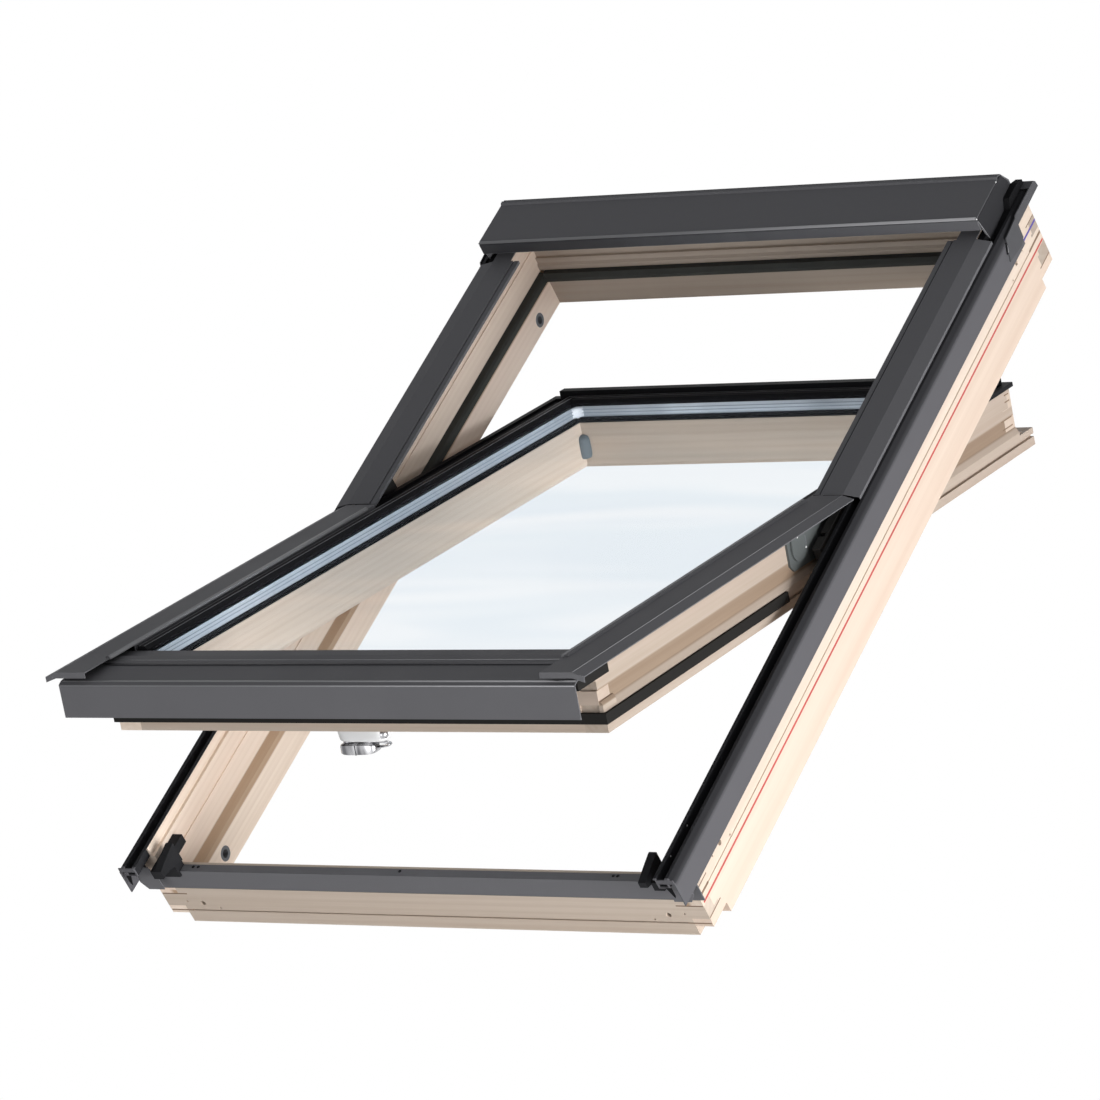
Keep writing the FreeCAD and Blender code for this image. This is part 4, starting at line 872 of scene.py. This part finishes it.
# %% [markdown]
# ### Folds in the cladding
# Sheet metal can't be bent to a sharp edge. Each fold is a small radius that catches the light
# as a thin bright line, and a pressed step leaves a line of shade. Low arches along the folds
# give both, in an enamel a little lighter or darker than the sheet: painted highlights and
# painted shade. The hood's front is darkened the same way: painted shade.

# %% Fold lines
def fold(name, path, up, width, finish, body, height=0.35):
    """A smooth low arch along one path, in the given finish."""
    return make_piece(name, [carried(path, up, low_arch(width, height))], finish, body,
                      smooth=True)


for name, half, v, w, up, width, finish, body, height in (
        ("hood_front_fold", 375.5, 490.4, 148.4, (0, -0.35, 0.94), 4.2, "enamel_fold", "frame",
         0.35),
        ("apron_ridge_fold", 364, -583.5, -6.7, (0, 0.1, 0.99), 2.2, "enamel_fold", "sash", 0.35),
        # Dark strip below the apron's ridge: painted shade.
        ("apron_ridge_shade", 364, -592.0, -7.6, (0, 0.1, 0.99), 13.0, "dark_enamel", "sash",
         0.15),
        ("apron_upper_fold", 365, -640.6, -12.8, (0, -0.3, 0.95), 3.0, "enamel_fold", "sash",
         0.35),
        ("apron_front_fold", 365, -645.9, -16.9, (0, -0.95, 0.3), 1.8, "enamel_fold", "sash",
         0.3),
        # Dark strip on the hood's front face: painted shade.
        ("hood_front_face", 375.8, 488.9, 138.2, (0, -1, 0), 15.5, "dark_enamel", "frame", 0.15)):
    fold(name, [(-half, v, w), (half, v, w)], up, width, finish, body, height)
# The covers' rolled beads, fold lines and end edges are lighter: painted highlights.
for side, label in SIDES:
    make_piece(f"{label}_rolled_bead",
               [carried([(side * 322.6, -593.5, 0.6), (side * 322.6, -22.5, 0.6)], (0, 0, 1),
                        power_oval(2.2, 16) * (3.2, 2.6))],
               "enamel_fold", "sash", smooth=True)
    fold(f"{label}_cover_fold", [(side * 366.2, -647, -0.1), (side * 366.2, -3, -0.1)],
         (side * 0.17, 0, 0.98), 1.1, "enamel_fold", "sash")
    fold(f"{label}_cover_end_edge",
         [(side * 323, -647.8, -0.4), (side * 365, -647.8, -0.4), (side * 380.8, -647.8, -5.2)],
         (0, -1, 0), 1.0, "enamel_fold", "sash", 0.18)
    # A bright strip at each cover's cut end: painted highlight.
    end = -325.6 if side < 0 else 379.6
    drop = -0.4 if side < 0 else -4.6
    fold(f"{label}_cover_cut_edge", [(end, -647.8, drop), (end + 0.6, -647.8, drop - 5.4)],
         (0, -1, 0), 1.6, "bare_cut_edge", "sash", 0.19)

# %% [markdown]
# ### Highlights on the black profiles
# The glazing profiles are glossy black with two raised ribs, mitred in the upper corners, drawn
# in a light grey: painted highlights. Each rib is one low arch carried along three sides, so that
# the mitre comes from the path itself.

# %% Ribs on the profiles
# Light grey ribs on the black profiles: painted highlights.
for label, half, top, level in (("outer", 317.2, 477.8, -3.4), ("inner", 309.4, 471.5, -3.4)):
    make_piece(f"{label}_profile_rib",
               [carried([(-half, -541, level), (-half, top, level), (half, top, level),
                         (half, -541, level)], (0, 0, 1), low_arch(1.1, 0.25))],
               "rib_grey", "sash", smooth=True)

# %% [markdown]
# ### Edge of the glass unit
# Between the panes a metal spacer runs round with bent corners, marked by two fine grooves, and
# a dark sealant closes the unit below it. The bent corners are paler than the spacer: painted
# highlights. They are hollow fillets: the corner point joined to a quarter circle that curves away
# from it.

# %% Spacer grooves, corners and sealant
def rectangle_path(half, low, high, level):
    return [(-half, low, level), (half, low, level), (half, high, level), (-half, high, level)]


make_piece("edge_sealant", [carried(rectangle_path(304.9, -549.9, 468.9, -35.7), (0, 0, 1),
                                    [(-1, 0), (1, 0), (1, 4.9), (-1, 4.9)], True)],
           "dark_sealant", "sash", joined=True)
make_piece("spacer_grooves",
           [carried(rectangle_path(305.9, -550.9, 469.9, level), (0, 0, 1),
                    [(-0.1, -0.6), (0.3, -0.6), (0.3, 0.6), (-0.1, 0.6)], True)
            for level in (-20.8, -25.2)], "spacer_groove", "sash",
           joined=True)


def hollow_fillet(side, end, corner, radius, levels):
    """Corner point, then centre minus radius times (sine, cosine) over a quarter turn."""
    angle = np.linspace(0.0, math.pi / 2, 12)
    flat = np.vstack([[0.0, 0.0], np.stack([radius * (1 - np.sin(angle)),
                                            radius * (1 - np.cos(angle))], axis=1)])
    u, v = corner[0] - side * flat[:, 0], corner[1] - end * flat[:, 1]
    return np.array([np.stack([u, v, np.full(len(u), level)], axis=1) for level in levels])


# The paler bent corners are painted highlights.
make_piece("spacer_bent_corners",
           [hollow_fillet(side, end, (side * 306, 470 if end > 0 else -551), 11,
                          (-31.8, -27.0, -21.0, -16.2)) for side in (-1, 1) for end in (-1, 1)],
           "spacer_corner", "sash", smooth=True)

# %% [markdown]
# ### Corner plugs
# A grey plug closes the tilt joint in each upper inner corner of the sash. It is a quarter disc
# that grows and shrinks along its height by the fourth-power oval rule, which rounds both ends.

# %% Rounded corner plugs
def plug_rings(side, leg=11.5, low=-88.0, high=-54.0, corner_end=464.0, half_width=300.0):
    """Quarter discs piled along the height; radius = leg times the fourth root of 1 - place^4."""
    place = np.linspace(-0.995, 0.995, 19)
    radius = leg * (1 - np.abs(place) ** 4) ** 0.25
    angle = np.linspace(0.0, math.pi / 2, 12)
    quarter = np.vstack([[0.0, 0.0], np.stack([np.cos(angle), np.sin(angle)], axis=1)])
    u = side * (half_width + 0.5 - (radius[:, None] * quarter[None, :, 0]))
    v = corner_end + 0.5 - radius[:, None] * quarter[None, :, 1]
    w = (low + high) / 2 + place * (high - low) / 2
    return np.stack([u, v, np.broadcast_to(w[:, None], u.shape)], axis=-1)


for side, label in SIDES:
    plug = make_piece(f"{label}_rounded_plug", [plug_rings(side)], "grey_plastic", "sash",
                      smooth=True)
    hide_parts(f"{label}_corner_plug")

# %% [markdown]
# ### Brake disc of the pivot
# Below the cover's edge a round zinc plate shows on the sash's side, with bright rivets and a
# curved rib. A black ring round the plate's edge is painted shadow. Plate, ring and rivets are
# profiles turned about an axis across the window; the rib is an arch carried along an arc.

# %% Brake discs
def arc_path(u, centre, radius, start, stop, count=14):
    """Points across the window's side at equal angles from start to stop, in degrees."""
    angle = np.radians(np.linspace(start, stop, count))
    return np.stack([np.full(count, u), centre[0] + radius * np.cos(angle),
                     centre[1] + radius * np.sin(angle)], axis=1)


disc_centre, disc_radius = (-90.0, -32.0), 18.4
rivet = [(1.5, -0.5), (1.5, 0.2), (1.2, 0.6), (0.4, 0.9)]
for side, label in SIDES:
    face = side * 349.0
    axis = (side, 0, 0)
    make_piece(f"{label}_brake_disc",
               [turned((side * 343.2, *disc_centre), axis,
                       [(disc_radius, -0.5), (disc_radius, 5.2), (disc_radius - 0.8, 6.0),
                        (disc_radius - 5, 6.3), (0.6, 6.3)], 48)],
               "dull_zinc", "sash")
    # A black ring round the disc's edge: painted shadow.
    make_piece(f"{label}_brake_disc_shadow_ring",
               [turned((side * 343.2, *disc_centre), axis,
                       [(disc_radius + 1.4, -0.5), (disc_radius + 1.4, 1.2),
                        (disc_radius - 0.6, 1.4), (disc_radius - 0.6, -0.5)], 48)],
               "shadow_line", "sash")
    make_piece(f"{label}_brake_rivets",
               [turned((face + side * 0.4, v, w), axis, rivet, 12)
                for v, w in ((-94.0, -22.5), (-79.0, -19.5), (-77.5, -40.4))],
               "bright_steel", "sash", smooth=True)
    make_piece(f"{label}_brake_rib",
               [carried(arc_path(face + side * 0.4, disc_centre, 14.6, -35, 60), axis,
                        low_arch(1.6, 0.5))],
               "socket_grey", "sash", smooth=True)

# %% [markdown]
# ### Dark caps, shade blocks and corner gussets
# The hood's ends are curved caps in shade, drawn as flat plates of very dark enamel: painted
# shade. The channel behind each bracket and the gap beside each cover's tail are in shade too,
# and black blocks are put there: painted shade. At the lower corners a folded gusset seems to
# join the bottom strip to the side cladding, whose lip has a dark opening drawn as a black sheet:
# painted shade. All but the channel's block are flat outlines given a small thickness: two equal
# rings of corner points.

# %% Flat outlines with thickness
def plate_rings(corners, axis_index, start, thickness):
    """Outline rings at two places along one axis; the other two numbers are the corners."""
    outline = np.asarray(corners, float)
    return np.array([np.insert(outline, axis_index, start + step, axis=1)
                     for step in (0.0, thickness)])


def channel_shade_rings(side):
    """Channel block, painted shade: a four-cornered section whose top rises station by station."""
    rings = []
    for v, top in ((497.0, 98.5), (512.0, 106.0), (545.0, 109.2), (604.5, 109.2)):
        rings.append([(side * 377.1, v, 95.7), (side * 390.8, v, 95.7),
                      (side * 390.8, v, top), (side * 377.1, v, top)])
    return np.array(rings)


HOOD_END = [(490, 144.5), (501, 100), (586, 100), (586, 128), (576, 147.5), (493, 147.5)]
REAR_SHADE_BLOCK = [(548, 104), (603, 104), (603, 117), (590, 122), (560, 122)]
TAIL_SHADE_BLOCK = [(484, 101), (520, 101), (520, 116), (484, 116)]
GUSSET = [(366.5, 50), (366.5, 72), (374, 88), (397.3, 88), (397.3, 62), (390, 50)]
LIP_OPENING_SHADE = [(391.0, 95.0), (383.0, 95.0), (389.0, 78.0), (391.0, 82.0)]
for side, label in SIDES:
    # The hood caps, the black blocks and the lip opening are painted shade.
    for name, outline, start, thickness, finish, slot in (
            ("hood_cap", HOOD_END, 376.7, 0.9, "cap_enamel", "grey_cladding"),
            ("hood_rear_foam", REAR_SHADE_BLOCK, 377.6, 9.0, "shadow_line", "black_plastic"),
            ("cover_tail_foam", TAIL_SHADE_BLOCK, 366.3, 9.5, "shadow_line", "black_plastic")):
        make_piece(f"{label}_{name}", [plate_rings(outline, 0, side * start, side * thickness)],
                   finish, "frame")
    for name, outline, start, thickness, finish in (
            ("corner_gusset", GUSSET, -603.5, 1.2, "grey_enamel"),
            ("lip_opening", LIP_OPENING_SHADE, -624.15, 0.3, "shadow_line")):
        mirrored = [(side * u, w) for u, w in outline]
        make_piece(f"{label}_{name}", [plate_rings(mirrored, 1, start, thickness)], finish,
                   "frame")
    make_piece(f"{label}_channel_shade", [channel_shade_rings(side)], "shadow_line", "frame")
    # A light line along the cap's front edge: painted highlight.
    make_piece(f"{label}_hood_cap_edge",
               [carried([(side * 377.5, 490.4, 143.5), (side * 377.5, 500.8, 101.2)],
                        (side, 0, 0), low_arch(0.9, 0.4))],
               "enamel_fold", "frame", smooth=True)

# %% [markdown]
# ### Screws, slots and end specks
# Small fasteners hold the cladding: dark pan heads on the bottom strip, bright ones in the side
# channels. Each head is a turned profile of two or three millimetres. The bracket has a stamped
# slot with a tab, drawn as a dark line and a light one: painted shade and a painted highlight.
# Bright specks where the hood's folds end are painted glints.

# %% Fasteners
pan_head = [(2.1, -0.5), (2.1, 0.3), (1.5, 0.8), (0.3, 0.9)]
make_piece("bottom_strip_screws",
           [turned((u, -581.0, 67.5), (0, 0, 1), pan_head, 14)
            for u in (-326, -318.5, -20.7, 280.5, 286.5)],
           "shadow_line", "frame", smooth=True)
tiny_head = [(1.1, -0.5), (1.1, 0.2), (0.8, 0.6), (0.2, 0.8)]
channel_spots = [(side * 375.0, v, w) for side in (-1, 1) for v, w in ((-532, 103), (-582, 104))]
make_piece("channel_screws", [turned(spot, (np.sign(spot[0]), 0, 0), tiny_head, 12)
                              for spot in channel_spots],
           "bright_steel", "frame", smooth=True)
# Bright specks where the hood's folds end: painted glints.
hood_glint_spots = [(side * 376.7, v, w) for side in (-1, 1)
              for v, w in ((489.8, 147.6), (561.5, 147.8), (577, 101.5))]
make_piece("hood_end_glints", [turned(spot, (np.sign(spot[0]), 0, 0), tiny_head, 12)
                               for spot in hood_glint_spots],
           "bright_steel", "frame", smooth=True)
for side, label in SIDES:
    bolt_at = (side * 376.8, 541.0, 102.0)
    make_piece(f"{label}_hood_bolt",
               [turned(bolt_at, (side, 0, 0), [(4.6, -0.5), (4.6, 1.2), (3.6, 1.6), (3.4, 0.6),
                                               (0.3, 0.6)], 24)],
               "socket_grey", "frame")
    # A bright arc on the bolt head's edge: painted highlight.
    make_piece(f"{label}_hood_bolt_highlight",
               [carried(arc_path(side * 378.2, (541.0, 102.0), 4.4, 100, 300, 16), (side, 0, 0),
                        low_arch(0.9, 0.5))],
               "bright_steel", "frame", smooth=True)
    # A dark slot line and a light tab line on the bracket: painted shade and a painted highlight.
    plate = side * 399.33
    make_piece(f"{label}_bracket_slot",
               [carried([(plate, 496.5, 101.5), (plate, 489.5, 88.0)], (side, 0, 0),
                        low_arch(3.6, 0.08)),
                carried([(plate, 497.5, 100.0), (plate, 489.5, 78.0)], (side, 0, 0),
                        low_arch(0.9, 0.08)),
                carried([(plate, 494.0, 84.3), (plate, 494.6, 82.0)], (side, 0, 0),
                        low_arch(2.4, 0.08))],
               "shadow_line", "frame")
    make_piece(f"{label}_bracket_tab",
               [carried([(plate, 500.0, 101.0), (plate, 492.5, 88.5)], (side, 0, 0),
                        low_arch(3.4, 0.12))],
               "enamel_fold", "frame")

# %% [markdown]
# ### Handle
# A white moulded base is screwed under the bottom rail, and a chromed grip turns on it about a
# short spindle. The base is a pile of power ovals, stacked from station to station with sizes
# that shrink towards its face.

# %% Handle base
def stacked(axis_index, stations, exponent, count=40):
    """Ovals across an axis: (place on the axis, centre pair, half sizes pair) for each station."""
    shape = power_oval(exponent, count)
    rings = []
    for along, centre, half in stations:
        flat = np.asarray(centre) + shape * np.asarray(half)
        rings.append(np.insert(flat, axis_index, along, axis=1))
    return np.array(rings)


base_middle = (-2.0, -554.5)
base_steps = [(-100.8, 34.0, 13.0), (-103, 34.0, 13.0), (-109, 33.4, 12.6), (-113, 32.8, 12.2),
              (-115.2, 31.6, 11.4), (-116, 29.5, 9.8)]
base = make_piece("moulded_handle_base",
                  [stacked(2, [(w, base_middle, (a, b)) for w, a, b in base_steps], 4.5)],
                  "white_plastic", "sash", smooth=True)
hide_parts("handle_base")
make_piece("handle_base_boss",
           [turned((27.0, -559.0, -103.0), (0, 0, -1),
                   [(6.5, -1), (6.5, 6.5), (5.6, 8.5), (4.0, 9.4), (0.5, 9.6)], 28)],
           "polished_chrome", "sash", smooth=True)

# %% [markdown]
# ### Chromed grip
# The real grip looks like one casting: a flat body with round ends and a strap bent back.
# The body is a row of ovals whose size follows a fifth-power rule, which gives nearly square
# ends; the strap is a flat oval carried round the bend.

# %% Handle grip
def grip_rings():
    """Ovals across X: both half sizes follow one minus the fifth power of the place, rooted."""
    place = np.linspace(-0.998, 0.998, 25)
    scale = (1 - np.abs(place) ** 5) ** 0.2
    u = -11.0 + place * 25.0
    depth = 7.6 * scale * (1.0 - 0.08 * np.maximum(place, 0))
    drop = -125.2 + 0.6 * place
    return stacked(0, [(x, (-556.0, z), (11.0 * s, d))
                       for x, z, s, d in zip(u, drop, scale, depth)], 5.0)


def loop_rings():
    """Flat oval section carried along half an oval: 21 mm reach, 3.4 mm half height."""
    angle = np.linspace(0, math.pi, 18)
    arc = np.stack([12 + 21 * np.sin(angle), np.full(18, -557.0), -120.6 + 3.4 * np.cos(angle)],
                   axis=1)
    path = np.vstack([[(-14.0, -557.0, -118.9)], arc, [(4.0, -557.0, -125.0)]])
    return carried(path, (0, 1, 0), power_oval(2.4, 16) * (1.2, 4.0))


grip = make_piece("chromed_grip",
                  [grip_rings(), loop_rings(),
                   turned((-27.0, -556.0, -115.0), (0, 0, -1), [(6, 0), (6, 6)], 28)],
                  "polished_chrome", "handle", smooth=True)
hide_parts("handle_lever")
# A thin dark line down the middle of the grip's front.
make_piece("grip_dark_line",
           [carried([(-12.0, -567.2, -119.8), (-12.0, -567.2, -132.2)], (0, -1, 0),
                    low_arch(0.9, 0.15))],
           "shadow_line", "handle")
